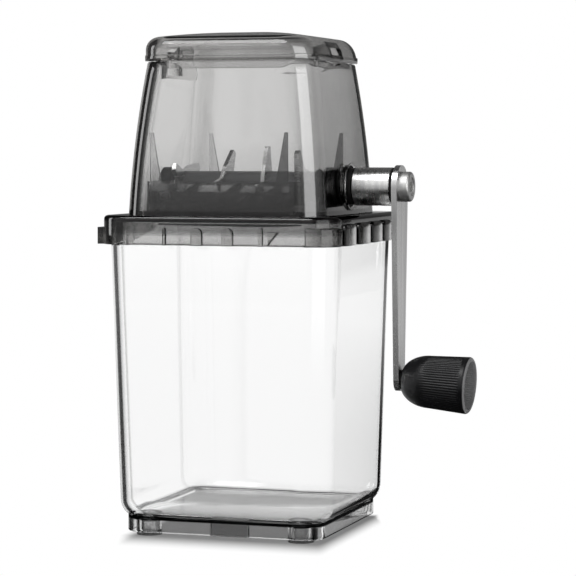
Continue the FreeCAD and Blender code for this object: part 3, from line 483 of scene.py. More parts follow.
def make_knob_end():
    """Mask of the knob's hollow end and its rim, where the painted reflection and the painted highlight go,
    from the distance along the knob and from its axis.
    """
    group, _, leave = new_group("knob_end", [], [("Mask", "NodeSocketFloat")])
    place = add(group, "ShaderNodeVectorMath", operation="SUBTRACT")
    group.links.new(add(group, "ShaderNodeTexCoord").outputs["Object"], place.inputs[0])
    place.inputs[1].default_value = [value * mm for value in knob_centre]
    along = add(group, "ShaderNodeVectorMath", operation="DOT_PRODUCT")
    group.links.new(place.outputs["Vector"], along.inputs[0])
    along.inputs[1].default_value = knob_axis
    across = add(group, "ShaderNodeVectorMath", operation="CROSS_PRODUCT")
    group.links.new(place.outputs["Vector"], across.inputs[0])
    across.inputs[1].default_value = knob_axis
    radius = add(group, "ShaderNodeVectorMath", operation="LENGTH")
    group.links.new(across.outputs["Vector"], radius.inputs[0])
    distance = along.outputs["Value"]
    rim = range_node(group, distance, (knob_length - 0.9) * mm, (knob_length - 0.5) * mm, 0.0, 1.0)
    cup_radius = (knob_cup_mouth + 0.1) * mm
    inside = range_node(group, radius.outputs["Value"], cup_radius, cup_radius + 0.2 * mm, 1.0, 0.0)
    cup_start = (knob_length - knob_cup_depth - 1.9) * mm
    deep = range_node(group, distance, cup_start, cup_start + mm, 0.0, 1.0)
    hollow = math_node(group, "MULTIPLY", inside, deep)
    group.links.new(math_node(group, "MAXIMUM", rim, hollow), leave["Mask"])
    return group


def knob_with_painted_sheen(name, colour, painted_sheen_colour, gloss, specular):
    """Black moulding of the knob, with a lighter grey painted highlight on its rim and painted reflection in
    its hollow end.
    """
    material, tree, shader, output = start_material(name)
    shader.inputs["Specular IOR Level"].default_value = specular
    texture = place_group(tree, mould_texture, grain_scale=2600.0)
    variation = texture.outputs["Variation"]
    body = ramp_node(tree, variation, [(0.3, colour), (0.7, [value * 1.4 for value in colour])])
    # the lighter grey is a painted highlight on the rim and a painted reflection in the hollow
    thin = ramp_node(tree, variation, [(0.3, painted_sheen_colour), (0.7, [value * 1.1 for value in painted_sheen_colour])])
    shade = blend(tree, "MIX", body, thin, place_group(tree, knob_end).outputs["Mask"])
    tree.links.new(shade, shader.inputs["Base Color"])
    rough = range_node(tree, variation, 0.3, 0.7, gloss - 0.04, gloss + 0.05)
    tree.links.new(rough, shader.inputs["Roughness"])
    tree.links.new(bump(tree, texture.outputs["Height"], 0.000006), shader.inputs["Normal"])
    tree.links.new(shader.outputs[0], output.inputs["Surface"])
    return material


def opaque_moulding(name, colour, lighter, gloss, grain, depth, specular=0.5):
    """Moulded plastic or rubber with an eroded texture and slight wear."""
    material, tree, shader, output = start_material(name)
    shader.inputs["Specular IOR Level"].default_value = specular
    texture = place_group(tree, mould_texture, grain_scale=grain)
    marks = place_group(tree, fine_scratches, amount=0.5)
    shade = ramp_node(tree, texture.outputs["Variation"], [(0.35, colour), (0.7, lighter)])
    tree.links.new(shade, shader.inputs["Base Color"])
    rough = range_node(tree, texture.outputs["Variation"], 0.3, 0.7, gloss - 0.05, gloss + 0.06)
    rough = math_node(tree, "SUBTRACT", rough, math_node(tree, "MULTIPLY", marks.outputs["Mask"], 0.1))
    tree.links.new(rough, shader.inputs["Roughness"])
    tree.links.new(bump(tree, texture.outputs["Height"], depth), shader.inputs["Normal"])
    tree.links.new(shader.outputs[0], output.inputs["Surface"])
    return material


def dim_in_mirrors(tree, shader):
    """Shader that turns dark where a shiny wall beside it mirrors it."""
    light_path = tree.nodes.new("ShaderNodeLightPath")
    through = math_node(tree, "SUBTRACT", 1.0, light_path.outputs["Is Transmission Ray"])
    dim = tree.nodes.new("ShaderNodeBsdfDiffuse")
    dim.inputs["Color"].default_value = (0.01, 0.01, 0.01, 1.0)
    beside = math_node(tree, "MULTIPLY", light_path.outputs["Is Glossy Ray"], through)
    return mix_shaders(tree, beside, shader, dim.outputs[0])


def brushed_metal(name, colour, darker, gloss, stretch, scale, depth, mirrored=True):
    """Steel with grain lines along one direction and slightly darker streaks."""
    material, tree, shader, output = start_material(name)
    shader.inputs["Metallic"].default_value = 1.0
    grain = place_group(tree, brushed_grain, stretch=stretch, scale=scale)
    marks = place_group(tree, fine_scratches, amount=0.6)
    shade = ramp_node(tree, grain.outputs["Streak"], [(0.0, darker), (1.0, colour)])
    tree.links.new(shade, shader.inputs["Base Color"])
    rough = range_node(tree, grain.outputs["Streak"], 0.0, 1.0, gloss + 0.06, gloss)
    rough = math_node(tree, "ADD", rough, math_node(tree, "MULTIPLY", marks.outputs["Mask"], 0.08))
    tree.links.new(rough, shader.inputs["Roughness"])
    tree.links.new(bump(tree, grain.outputs["Height"], depth), shader.inputs["Normal"])
    surface = shader.outputs[0] if mirrored else dim_in_mirrors(tree, shader.outputs[0])
    tree.links.new(surface, output.inputs["Surface"])
    return material


base_shade = make_base_shade()
knob_end = make_knob_end()
clear_grey = (0.50, 0.52, 0.52)
smoke_grey = (0.20, 0.19, 0.175)
deep_grey = (0.10, 0.10, 0.11)

# The corner, rise and side greys below are painted shade on the plastics' colour; the absorb colours are
# their own tint.
clear_plastic = see_through_plastic(
    "clear_plastic", absorb=(clear_grey, 12.0), refraction=1.49, gloss=0.008, wave=0.00004,
    lamp_tint=(0.80, 0.80, 0.80), corner=(0.27, 0.42, 0.004, 0.0), shade=base_shade)
hopper_plastic = see_through_plastic(
    "hopper_smoked_plastic", absorb=(smoke_grey, 115.0), refraction=1.49, gloss=0.012, wave=0.00006,
    lamp_tint=(0.62, 0.62, 0.62), corner=(0.09, 0.23, 0.001, 0.0), polish=True,
    rise_painted_shade=[(159.0, 0.5), (166.0, 0.65), (182.0, 0.95), (196.0, 1.0)],
    side_painted_shade=[(-45.0, 1.0), (10.0, 0.94), (36.0, 0.88), (46.0, 0.60), (55.0, 0.55)])
lid_plastic = see_through_plastic(
    "lid_smoked_plastic", absorb=(smoke_grey, 200.0), refraction=1.49, gloss=0.012, wave=0.00006,
    lamp_tint=(0.45, 0.45, 0.45), corner=(0.12, 0.30, 0.02, 0.15), polish=True,
    side_painted_shade=[(-45.0, 1.0), (-20.0, 0.92), (0.0, 0.78), (46.0, 0.78)])
collar_plastic = see_through_plastic(
    "collar_smoked_plastic", absorb=(smoke_grey, 210.0), refraction=1.49, gloss=0.03, wave=0.00006,
    lamp_tint=(0.45, 0.45, 0.45), corner=(0.12, 0.30, 0.01, 0.15), specular=0.3,
    rise_painted_shade=[(144.0, 0.85), (149.3, 0.85), (150.8, 0.46), (152.2, 0.34), (156.2, 0.34), (157.2, 0.03),
               (160.0, 0.03)],
    side_painted_shade=[(-64.0, 1.0), (-20.0, 0.92), (0.0, 0.86), (46.0, 0.86), (55.0, 0.62), (63.0, 0.42)])
chamber_plastic = see_through_plastic(
    "chamber_smoked_plastic", absorb=(deep_grey, 200.0), refraction=1.49, gloss=0.03, wave=0.00006,
    lamp_tint=(0.2, 0.2, 0.2), corner=(0.36, 0.46, 0.3, 1.0),
    rise_painted_shade=[(157.0, 0.28), (163.0, 0.40), (171.0, 0.72), (178.0, 1.0), (200.0, 1.0)],
    side_painted_shade=[(-42.0, 1.0), (-32.0, 0.95), (-11.0, 0.46), (20.0, 0.26), (36.0, 0.22)])
soft_pad = see_through_plastic(
    "soft_pad", absorb=(deep_grey, 45.0), refraction=1.45, gloss=0.22, wave=0.00006,
    lamp_tint=(0.5, 0.5, 0.5), corner=(0.36, 0.46, 0.6, 1.0))
black_plastic = opaque_moulding(
    "black_plastic", colour=(0.004, 0.004, 0.005), lighter=(0.007, 0.007, 0.008), gloss=0.50,
    grain=2600.0, depth=0.00001, specular=0.05)
knob_plastic = knob_with_painted_sheen(
    "knob_plastic", colour=(0.005, 0.005, 0.006), painted_sheen_colour=(0.38, 0.38, 0.385), gloss=0.36, specular=0.34)
grey_plastic = opaque_moulding(
    "grey_plastic", colour=(0.08, 0.08, 0.085), lighter=(0.11, 0.11, 0.115), gloss=0.42,
    grain=2200.0, depth=0.00002, specular=0.2)
black_rubber = opaque_moulding(
    "black_rubber", colour=(0.008, 0.008, 0.008), lighter=(0.012, 0.012, 0.012), gloss=0.62,
    grain=3000.0, depth=0.00003, specular=0.2)
turned_steel = brushed_metal(
    "turned_steel", colour=(0.80, 0.80, 0.79), darker=(0.68, 0.68, 0.68), gloss=0.24,
    stretch=(1.0, 0.04, 0.04), scale=2600.0, depth=0.000003, mirrored=False)
arm_steel = brushed_metal(
    "arm_steel", colour=(0.66, 0.66, 0.66), darker=(0.58, 0.58, 0.58), gloss=0.24,
    stretch=(1.0, 1.0, 0.03), scale=2200.0, depth=0.000004)
bright_steel = brushed_metal(
    "bright_steel", colour=(0.72, 0.72, 0.71), darker=(0.62, 0.62, 0.62), gloss=0.46,
    stretch=(1.0, 1.0, 1.0), scale=1500.0, depth=0.000002)
blade_steel = brushed_metal(
    "blade_steel", colour=(0.55, 0.55, 0.55), darker=(0.44, 0.44, 0.44), gloss=0.22,
    stretch=(1.0, 0.05, 1.0), scale=1800.0, depth=0.000004)

node_finishes = {
    chamber_plastic: ["chamber"],
    black_plastic: ["drive_bush", "blind_bush"],
    grey_plastic: ["blade_spacer_%d" % number for number in range(1, 6)],
    black_rubber: ["shaft_seal", "crank_washer", "knob_washer"],
    soft_pad: ["foot_pad_front_left", "foot_pad_front_right", "foot_pad_rear_left", "foot_pad_rear_right"],
    turned_steel: ["shaft_sleeve", "rotor_shaft", "knob_axle"],
    arm_steel: ["crank_arm"],
    bright_steel: [
        "crank_bolt", "hinge_pin", "collar_screws", "comb_screws", "sleeve_grub_screw", "shaft_clip"],
    blade_steel: ["front_comb", "rear_comb"] + ["rotor_blade_%d" % number for number in range(1, 5)],
}


def dress_nodes():
    """Give each kept CAD node its finish."""
    for material, names in node_finishes.items():
        for name in names:
            for slot in nodes[name].material_slots:
                slot.material = material


# ---------------------------------------------------------------- mesh helpers

smooth_limit = math.radians(32)


def ring(half, corner, z, steps=10):
    """Level square with round corners, anticlockwise, in millimetres."""
    points = []
    for quarter, (sx, sy) in enumerate(((1, -1), (1, 1), (-1, 1), (-1, -1))):
        for step in range(steps + 1):
            angle = math.radians(90.0 * (quarter - 1) + 90.0 * step / steps)
            x = sx * (half - corner) + corner * math.cos(angle)
            y = sy * (half - corner) + corner * math.sin(angle)
            points.append((x, y, z))
    return points


def slab_ring(x0, x1, y0, y1, corner, z, steps=4):
    """Level rectangle with round corners between two corners, in millimetres."""
    points = []
    corners = ((x1, y0, -1, 1), (x1, y1, -1, -1), (x0, y1, 1, -1), (x0, y0, 1, 1))
    for quarter, (x, y, sx, sy) in enumerate(corners):
        for step in range(steps + 1):
            angle = math.radians(90.0 * (quarter - 1) + 90.0 * step / steps)
            px = x + sx * corner + corner * math.cos(angle)
            py = y + sy * corner + corner * math.sin(angle)
            points.append((px, py, z))
    return points


def turned_ring(centre, axis, radius, along, steps):
    """Circle round an axis, at a distance along it, in millimetres."""
    side = axis.orthogonal().normalized()
    up = axis.cross(side)
    points = []
    for step in range(steps):
        angle = 2.0 * math.pi * step / steps
        points.append(tuple(centre + axis * along + (side * math.cos(angle) + up * math.sin(angle)) * radius))
    return points


def skin(bm, rings, closed=False):
    """Quads through rings of equal counts, capped at both ends or closed into a tube."""
    rows = [[bm.verts.new([value * mm for value in point]) for point in points] for points in rings]
    count = len(rows[0])
    pairs = list(zip(rows[:-1], rows[1:]))
    if closed:
        pairs.append((rows[-1], rows[0]))
    for low, high in pairs:
        for k in range(count):
            after = (k + 1) % count
            bm.faces.new((low[k], low[after], high[after], high[k]))
    if not closed:
        bm.faces.new(list(reversed(rows[0])))
        bm.faces.new(rows[-1])


def arc(centre_a, centre_b, radius, start, end, steps):
    """Points of an arc in a plane of two coordinates, angles in degrees from the first one."""
    points = []
    for step in range(steps + 1):
        angle = math.radians(start + (end - start) * step / steps)
        points.append((centre_a + radius * math.cos(angle), centre_b + radius * math.sin(angle)))
    return points


def new_piece(name, bm):
    """Object from a bmesh with outward normals."""
    bmesh.ops.recalc_face_normals(bm, faces=bm.faces)
    mesh = bpy.data.meshes.new(name)
    bm.to_mesh(mesh)
    bm.free()
    piece = bpy.data.objects.new(name, mesh)
    bpy.context.scene.collection.objects.link(piece)
    return piece


def solid(name, rings, closed=False):
    """Object skinned through one stack of rings."""
    bm = bmesh.new()
    skin(bm, rings, closed)
    return new_piece(name, bm)


def cluster(name, stacks):
    """One object of several separate capped solids."""
    bm = bmesh.new()
    for rings in stacks:
        skin(bm, rings)
    return new_piece(name, bm)


def block_rings(x0, x1, y0, y1, z0, z1, corner=0.4):
    """Rings of an upright block with slightly round corners."""
    return [slab_ring(x0, x1, y0, y1, corner, z) for z in (z0, z1)]


def rod_rings(centre, axis, profile, steps=64):
    """Rings of a turned solid from (distance along the axis, radius) points."""
    centre, axis = Vector(centre), Vector(axis).normalized()
    return [turned_ring(centre, axis, radius, along, steps) for along, radius in profile]


def bake_modifiers(piece):
    """Apply what the modifiers do and drop them."""
    depsgraph = bpy.context.evaluated_depsgraph_get()
    mesh = bpy.data.meshes.new_from_object(piece.evaluated_get(depsgraph))
    piece.modifiers.clear()
    piece.data = mesh


def combine(piece, other, operation):
    """Join a helper solid to a piece, or cut it away, and drop the helper."""
    modifier = piece.modifiers.new(operation, "BOOLEAN")
    modifier.operation = operation
    modifier.solver = "EXACT"
    modifier.object = other
    bake_modifiers(piece)
    bpy.data.objects.remove(other)


def smooth(piece, limit=smooth_limit):
    """Smooth shading with the sharper edges kept crisp."""
    bm = bmesh.new()
    bm.from_mesh(piece.data)
    for face in bm.faces:
        face.smooth = True
    for edge in bm.edges:
        edge.smooth = len(edge.link_faces) == 2 and edge.calc_face_angle(math.pi) < limit
    bm.to_mesh(piece.data)
    bm.free()


def settle(piece, material, body, node):
    """Give a piece its finish and its body, and hide the CAD node that it stands for."""
    piece.data.materials.clear()
    piece.data.materials.append(material)
    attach(piece, body)
    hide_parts(node)


# ---------------------------------------------------------------- knob

knob_start = 0.8
knob_neck = 4.8
knob_shoulder = 13.1
knob_shoulder_at = 14.5
knob_rim = 14.2
knob_rim_round = 1.6
knob_cup_draft = 0.8
knob_bore = 3.05
knob_ribs = 64
rib_steps = 8
rib_depth = 0.24
rib_start = 11.5
rib_full = 15.0
rib_end = 31.6
rib_stop = 32.4
cup_rib_depth = 0.3


def knob_outline():
    """Profile of the knob from its bore at the nose, over the outside, into the cup and back to the bore."""
    swell = knob_shoulder - knob_neck
    reach = knob_shoulder_at - knob_start
    profile = [(knob_start, knob_bore, "plain")]
    for step in range(19):
        angle = math.radians(5.0 * step)
        along = knob_start + reach * (1 - math.cos(angle)) ** 0.9
        profile.append((along, knob_neck + swell * math.sin(angle), "side"))
    side_end = knob_length - knob_rim_round
    stops = [16.0, 20.0, 24.0, 27.0, 30.0, rib_end, rib_end + 0.25, rib_end + 0.55, rib_stop, 33.0, side_end]
    for along in stops:
        share = (along - knob_shoulder_at) / (side_end - knob_shoulder_at)
        profile.append((along, knob_shoulder + (knob_rim - knob_shoulder) * share, "side"))
    for a, b in arc(side_end, knob_rim - knob_rim_round, knob_rim_round, 90.0, 0.0, 6)[1:]:
        profile.append((a, b, "plain"))
    mouth_round = 0.5
    for a, b in arc(knob_length - mouth_round, knob_cup_mouth + mouth_round, mouth_round, 0.0, -90.0, 4):
        profile.append((a, b, "plain"))
    floor_at = knob_length - knob_cup_depth
    for share in (0.12, 0.2, 0.5, 0.85, 0.94):
        along = knob_length - knob_cup_depth * share
        kind = "plain" if share in (0.12, 0.94) else "cup"
        profile.append((along, knob_cup_mouth - knob_cup_draft * share, kind))
    profile += [(floor_at, knob_cup_mouth - knob_cup_draft, "plain"), (floor_at, knob_bore, "plain")]
    return profile


def knob_rib_share(along):
    """How deep the grooves are at a distance along the knob, from 0 to 1."""
    rising = min(max((along - rib_start) / (rib_full - rib_start), 0.0), 1.0)
    falling = min(max((rib_stop - along) / (rib_stop - rib_end), 0.0), 1.0)
    return rising * falling


def make_knob():
    """Bullet knob with fine grip ribs outside, a plain rim and a ribbed hollow end."""
    steps = knob_ribs * rib_steps
    side = Vector((0.0, 1.0, 0.0))
    up = knob_axis.cross(side)
    rings = []
    for along, radius, kind in knob_outline():
        points = []
        for step in range(steps):
            angle = 2.0 * math.pi * step / steps
            wave = abs(math.sin(0.5 * knob_ribs * angle)) ** 0.7
            depth = 0.0
            if kind == "side":
                depth = rib_depth * knob_rib_share(along) * (1.0 - wave)
            elif kind == "cup":
                depth = -cup_rib_depth * (1.0 - wave)
            ray = side * math.cos(angle) + up * math.sin(angle)
            points.append(tuple(knob_centre + knob_axis * along + ray * (radius - depth)))
        rings.append(points)
    knob = solid("crank_knob", rings, closed=True)
    smooth(knob, math.radians(50))
    settle(knob, knob_plastic, "knob", "knob")


# ---------------------------------------------------------------- hopper

deck_z = hopper_low[2]
hopper_top = 235.1
hopper_height = hopper_top - deck_z
hopper_low_half = 51.4
hopper_high_half = 43.9
hopper_bow = 1.0
hopper_wall = 2.2
hopper_corner = 12.5
hopper_inner_corner = 13.6
hopper_rim_round = 0.7
bracket_depth = 2.6
boss_start_x = 47.5
boss_end_x = 52.4
boss_radius = 11.0
boss_flare_radius = 12.0
bush_bore = 8.55
seal_seat_x = 49.1
seal_bore = 10.6
flange_height = 2.0
flange_room = 0.3
screw_head = 2.85
screw_boss = ((0.5, 3.0), (8.6, 3.0), (9.0, 2.6))
# drop of each level of the hinge bracket below the rim, drop where the wall's middle is taken, half length
bracket_levels = ((7.8, 7.8, 25.0), (5.0, 5.0, 26.5), (0.1, 0.0, 27.0))
knuckle_half = 7.5
knuckle_radius = 2.2
knuckle_bore = 1.06
pour_notch_depth = 1.9
pour_notch_radius = 26.0


def hopper_half(z, inset=0.0):
    """Half width of the hopper's outside at a height, less an inset."""
    share = (z - deck_z) / hopper_height
    straight = hopper_low_half + (hopper_high_half - hopper_low_half) * share
    return straight + hopper_bow * (1 - (2 * share - 1) ** 2) - inset


def hopper_rings():
    """Closed wall: up the outside, over a round rim and down the inside."""
    levels = [deck_z + hopper_height * k / 12 for k in range(12)] + [hopper_top - hopper_rim_round]
    rings = [ring(hopper_half(z), hopper_corner, z) for z in levels]
    half = hopper_half(hopper_top)
    turn = hopper_rim_round
    for a, b in arc(half - turn, hopper_top - turn, turn, 0.0, 90.0, 4)[1:]:
        rings.append(ring(a, hopper_corner - (half - a), b))
    rings.append(ring(half - hopper_wall + turn, hopper_inner_corner + turn, hopper_top))
    rings.append(ring(half - hopper_wall + 0.2 * turn, hopper_inner_corner, hopper_top - 0.5 * turn))
    for z in reversed(levels[1:]):
        rings.append(ring(hopper_half(z, hopper_wall), hopper_inner_corner, z - 0.3 * turn))
    rings.append(ring(hopper_half(deck_z, hopper_wall), hopper_inner_corner, deck_z))
    return rings


def head_screw_places():
    """Places of the four screws that hold the hopper down."""
    low, high = node_box("collar_screws")
    for x in (low[0] + screw_head, high[0] - screw_head):
        for y in (low[1] + screw_head, high[1] - screw_head):
            yield x, y


def make_hopper():
    """Tapering tower with its shaft boss, seating flange, screw bosses and hinge bracket."""
    hopper = solid("hopper_shell", hopper_rings(), closed=True)
    chamber_low, chamber_high = node_box("chamber")
    flange_half = hopper_low_half - hopper_wall / 2
    flange = solid("flange", [ring(flange_half, hopper_corner, z) for z in (deck_z, deck_z + flange_height)])
    room = block_rings(
        chamber_low[0] - flange_room, chamber_high[0] + flange_room, chamber_low[1] - flange_room,
        chamber_high[1] + flange_room, deck_z - 1, deck_z + flange_height + 1, 2.0)
    combine(flange, cluster("room", [room]), "DIFFERENCE")
    combine(hopper, flange, "UNION")
    x_axis = (1.0, 0.0, 0.0)
    boss = solid("boss", rod_rings((0, 0, shaft_z), x_axis, [
        (boss_start_x, boss_radius - 0.4), (boss_start_x + 0.4, boss_radius), (boss_end_x - 1.0, boss_radius),
        (boss_end_x - 0.8, boss_flare_radius - 0.2), (boss_end_x - 0.6, boss_flare_radius),
        (boss_end_x - 0.3, boss_flare_radius), (boss_end_x, boss_flare_radius - 0.3)]))
    combine(hopper, boss, "UNION")
    combine(hopper, solid("bore", rod_rings((0, 0, shaft_z), x_axis, [
        (boss_start_x - 3, bush_bore), (seal_seat_x, bush_bore), (seal_seat_x, seal_bore),
        (boss_end_x - 0.4, seal_bore), (boss_end_x + 2, seal_bore + 2.0)])), "DIFFERENCE")
    stacks = []
    for x, y in head_screw_places():
        stacks.append(rod_rings((x, y, deck_z), (0, 0, 1), screw_boss, 32))
    bracket_face = -hopper_half(hopper_top, hopper_wall) + bracket_depth
    bracket = []
    for drop, wall_drop, half in bracket_levels:
        middle = -hopper_half(hopper_top - wall_drop, hopper_wall / 2)
        bracket.append(slab_ring(middle, bracket_face, -half, half, 1.2, hopper_top - drop))
    stacks.append(bracket)
    combine(hopper, cluster("fittings", stacks), "UNION")
    pocket = block_rings(
        bracket_face - 1.2, bracket_face + 1, -19.0, 3.0, hopper_top - 6.2, hopper_top - 1.4, 0.8)
    combine(hopper, cluster("pocket", [pocket]), "DIFFERENCE")
    stem = block_rings(
        hinge_x - knuckle_radius, hinge_x + knuckle_radius, -knuckle_half, knuckle_half,
        hopper_top - 2.2, hinge_z, 0.2)
    combine(hopper, cluster("stem", [stem]), "UNION")
    hinge_place, y_axis, chamfer = (hinge_x, 0, hinge_z), (0, 1, 0), 0.3
    barrel = rod_rings(hinge_place, y_axis, [
        (-knuckle_half, knuckle_radius - chamfer), (-knuckle_half + chamfer, knuckle_radius),
        (knuckle_half - chamfer, knuckle_radius), (knuckle_half, knuckle_radius - chamfer)], 32)
    combine(hopper, cluster("barrel", [barrel]), "UNION")
    pin_hole = rod_rings(hinge_place, y_axis, [(-12.0, knuckle_bore), (12.0, knuckle_bore)], 24)
    notch_centre = (0, 0, hopper_top - pour_notch_depth + pour_notch_radius)
    notch = rod_rings(notch_centre, x_axis, [(38.0, pour_notch_radius), (46.0, pour_notch_radius)], 128)
    combine(hopper, cluster("holes", [pin_hole, notch]), "DIFFERENCE")
    smooth(hopper)
    settle(hopper, hopper_plastic, "head", "hopper")


# ---------------------------------------------------------------- lid

lid_bottom = lid_low[2] + 4.2
lid_top = lid_high[2]
lid_half = 45.0
lid_corner = 14.0
lid_wall = 2.2
lid_shoulder = 6.6
lid_slope_length = 9.0
lid_slope_height = 12.5
lid_crown = 2.9
lid_bead = 0.3
lid_bead_height = 3.0
plug_half = 41.0
plug_wall = 1.6
plug_corner = 13.0
plug_drop = 4.2
plug_corner_lift = 1.5
shelf_height = 1.4
notch_half = 9.0
notch_depth = 8.0
notch_height = 10.6
housing_wall = 1.6
pocket_rise = 3.2
pocket_height = 3.6
plug_lift_from = 29.0
plug_lift_span = 5.0
relief_half = 28.5
pin_hole_half = 13.0
pin_hole_radius = 1.02
crown_shares = (0.12, 0.28, 0.45, 0.62, 0.78, 0.9, 0.97)


def lid_right(z, inset):
    """Reach of the lid's right side, which slopes off in a long curve below the brow."""
    length = lid_slope_length - 0.6 * inset
    height = lid_slope_height - 0.6 * inset
    climb = min(max((z - lid_top + lid_crown + inset + height) / height, 0.0), 1.0)
    return lid_half - inset - length * (1 - math.sqrt(1 - climb ** 2))


def lid_level(half, right, corner, z):
    """Ring of the lid, with a right side of its own."""
    return slab_ring(-half, min(half, right), -half, half, corner, z, 10)


def dome_rings(inset):
    """Rings of the lid's surface, from above its rim up to the middle of the crown."""
    radius = lid_shoulder - 0.6 * inset
    half = lid_half - inset
    brow = lid_top - lid_crown - inset
    rings = []
    start = lid_bottom + lid_bead_height + 0.05
    for step in range(8):
        z = start + (brow - radius - start) * step / 8
        rings.append(lid_level(half, lid_right(z, inset), lid_corner, z))
    for a, b in arc(half - radius, brow - radius, radius, 0.0, 80.0, 9):
        corner = lid_corner - 0.6 * (half - a)
        rings.append(lid_level(a, lid_right(b, inset), corner, b))
    edge_half, edge_right, edge_z = a, lid_right(b, inset), b
    for share in crown_shares:
        keep = 1 - share
        rise = (lid_top - inset - edge_z) * (1 - keep ** 2)
        rings.append(lid_level(edge_half * keep, edge_right * keep, corner * keep, edge_z + rise))
    return rings


def lid_rings():
    """The lid's shell, from the middle of its ceiling down the inside, round the rim and up to the crown."""
    inner_half = lid_half - lid_wall
    proud = lid_half + lid_bead
    rings = list(reversed(dome_rings(lid_wall)))
    rim = [
        (inner_half, 0.3), (inner_half + 0.3, 0.0), (proud - 0.3, 0.0), (proud - 0.09, 0.09), (proud, 0.3),
        (proud, lid_bead_height - 0.3), (proud - 0.09, lid_bead_height - 0.09), (lid_half, lid_bead_height)]
    rings += [lid_level(half, half, lid_corner, lid_bottom + rise) for half, rise in rim]
    return rings + dome_rings(0.0)


def plug_rings():
    """The plug that drops into the hopper, lifted at its corners, and the shelf that joins it to the lid."""
    shelf_half = lid_half - 0.5 * lid_wall
    low = lid_bottom - plug_drop
    inner = plug_half - plug_wall
    profile = [
        (shelf_half, lid_bottom + shelf_height), (shelf_half, lid_bottom + 0.1),
        (plug_half, lid_bottom + 0.1), (plug_half, low + 0.3), (plug_half - 0.3, low),
        (inner + 0.3, low), (inner, low + 0.3),
        (inner, lid_bottom + shelf_height)]
    rings = []
    for half, z in profile:
        points = []
        for x, y, height in ring(half, min(plug_corner, plug_corner + half - plug_half), z, 12):
            if z < lid_bottom:
                share = min(max((min(abs(x), abs(y)) - plug_lift_from) / plug_lift_span, 0.0), 1.0)
                height += plug_corner_lift * share * share * (3 - 2 * share)
            points.append((x, y, height))
        rings.append(points)
    return rings


def make_lid():
    """Domed lid with its rim bead, plug, hinge notch and thumb pocket."""
    lid = solid("lid_shell", lid_rings())
    combine(lid, solid("plug", plug_rings(), closed=True), "UNION")
    inner_x = lid_half - notch_depth
    cheek = notch_half + housing_wall
    top = lid_bottom + notch_height
    pocket_low = lid_bottom + pocket_rise
    pocket_top = pocket_low + pocket_height
    roof = pocket_top + housing_wall
    start = inner_x - housing_wall
    housings = cluster("housings", [
        block_rings(-lid_half - 1, -start, -cheek, cheek, lid_bottom, top + housing_wall, 0.6),
        block_rings(start, lid_half + 1, -cheek, cheek, lid_bottom, roof, 0.6)])
    foot = lid_level(lid_half - 0.1, lid_half - 0.1, lid_corner, lid_bottom)
    outside = solid("outside", [foot] + dome_rings(0.1))
    combine(housings, outside, "INTERSECT")
    combine(lid, housings, "UNION")
    bracket_low = -hopper_half(hopper_top, hopper_wall) + bracket_depth + 1.5
    voids = cluster("voids", [
        block_rings(-lid_half - 2, -inner_x, -notch_half, notch_half, lid_bottom - 6, top, 0.6),
        block_rings(inner_x, lid_half + 2, -notch_half, notch_half, pocket_low, pocket_top, 0.6)])
    combine(lid, voids, "DIFFERENCE")
    relief = block_rings(
        -lid_half - 2, bracket_low, -relief_half, relief_half, lid_bottom - 6, lid_bottom, 0.6)
    combine(lid, cluster("relief", [relief]), "DIFFERENCE")
    hole = rod_rings((hinge_x, 0, hinge_z), (0, 1, 0), [
        (-pin_hole_half, pin_hole_radius), (pin_hole_half, pin_hole_radius)], 24)
    combine(lid, cluster("hole", [hole]), "DIFFERENCE")
    smooth(lid)
    settle(lid, lid_plastic, "lid", "lid")


# ---------------------------------------------------------------- collar

collar_bottom = collar_high[2] - 14.3
deck_under = deck_z - 2.7
collar_half = 61.2
collar_inner_half = 58.8
collar_corner = 14.0
collar_edge = 2.2
collar_bead = 0.35
collar_bead_height = 1.2
grip_half = 63.2
grip_root = 1.2
grip_round = 0.9
grip_corner = 12.0
grip_turn = 3.0
rib_places = ((-24.7, 1.8), (-7.9, 6.0), (7.9, 6.0))
rib_height = 8.7
latch_place = 24.9
latch_width = 2.4
corner_height = 9.0
lug_start = 41.5
lug_end = 53.9
lug_height = 8.3
ramp_start = 28.5
ramp_length = 5.8
ramp_height = 7.0
panel_places = ((-37.0, 18.0), (-12.8, 19.5), (9.8, 17.5), (28.5, 13.5))
panel_height = 10.6
corner_grip_x = 47.7
corner_grip_y = -53.2
deck_opening = (-42.3, 36.3, -24.8, 24.8)
screw_bore = 1.6


def collar_rings():
    """The collar's shell, from its ceiling down the inside, round the lower bead and up to the deck."""
    proud = collar_half + collar_bead
    inner = collar_inner_half
    profile = [
        (inner - 0.5, deck_under), (inner, deck_under - 0.5), (inner, collar_bottom + 0.2),
        (inner + 0.2, collar_bottom), (proud - 0.3, collar_bottom), (proud - 0.09, collar_bottom + 0.09),
        (proud, collar_bottom + 0.3), (proud, collar_bottom + collar_bead_height - 0.3),
        (collar_half, collar_bottom + collar_bead_height)]
    rings = [ring(half, collar_corner, z) for half, z in profile]
    for a, b in arc(collar_half - collar_edge, deck_z - collar_edge, collar_edge, 0.0, 90.0, 8):
        rings.append(ring(a, collar_corner - (collar_half - a), b))
    return rings


def tab_outline(place, width, height):
    """Outlines, by their inset, of a grip with a flat foot and two round top corners."""
    def outline(inset):
        """One outline, drawn in from the grip's edge by the inset."""
        half = width / 2 - inset
        top = height - inset
        turn = max(min(grip_turn, width / 2) - inset, 0.2)
        points = [(place + half, 0.0)]
        points += [(place + a, b) for a, b in arc(half - turn, top - turn, turn, 0.0, 90.0, 6)]
        points += [(place + a, b) for a, b in arc(turn - half, top - turn, turn, 90.0, 180.0, 6)]
        return points + [(place - half, 0.0)]
    return outline


def ramp_outline(inset):
    """Outline of the three-sided ramp beside the latch, by its inset."""
    slope = math.hypot(ramp_length, ramp_height)
    low = inset * (slope + ramp_height) / ramp_length
    end = ramp_length - inset * (slope + ramp_length) / ramp_height
    top = ramp_height - inset
    return [(ramp_start + inset, low), (ramp_start + end, top), (ramp_start + inset, top)]


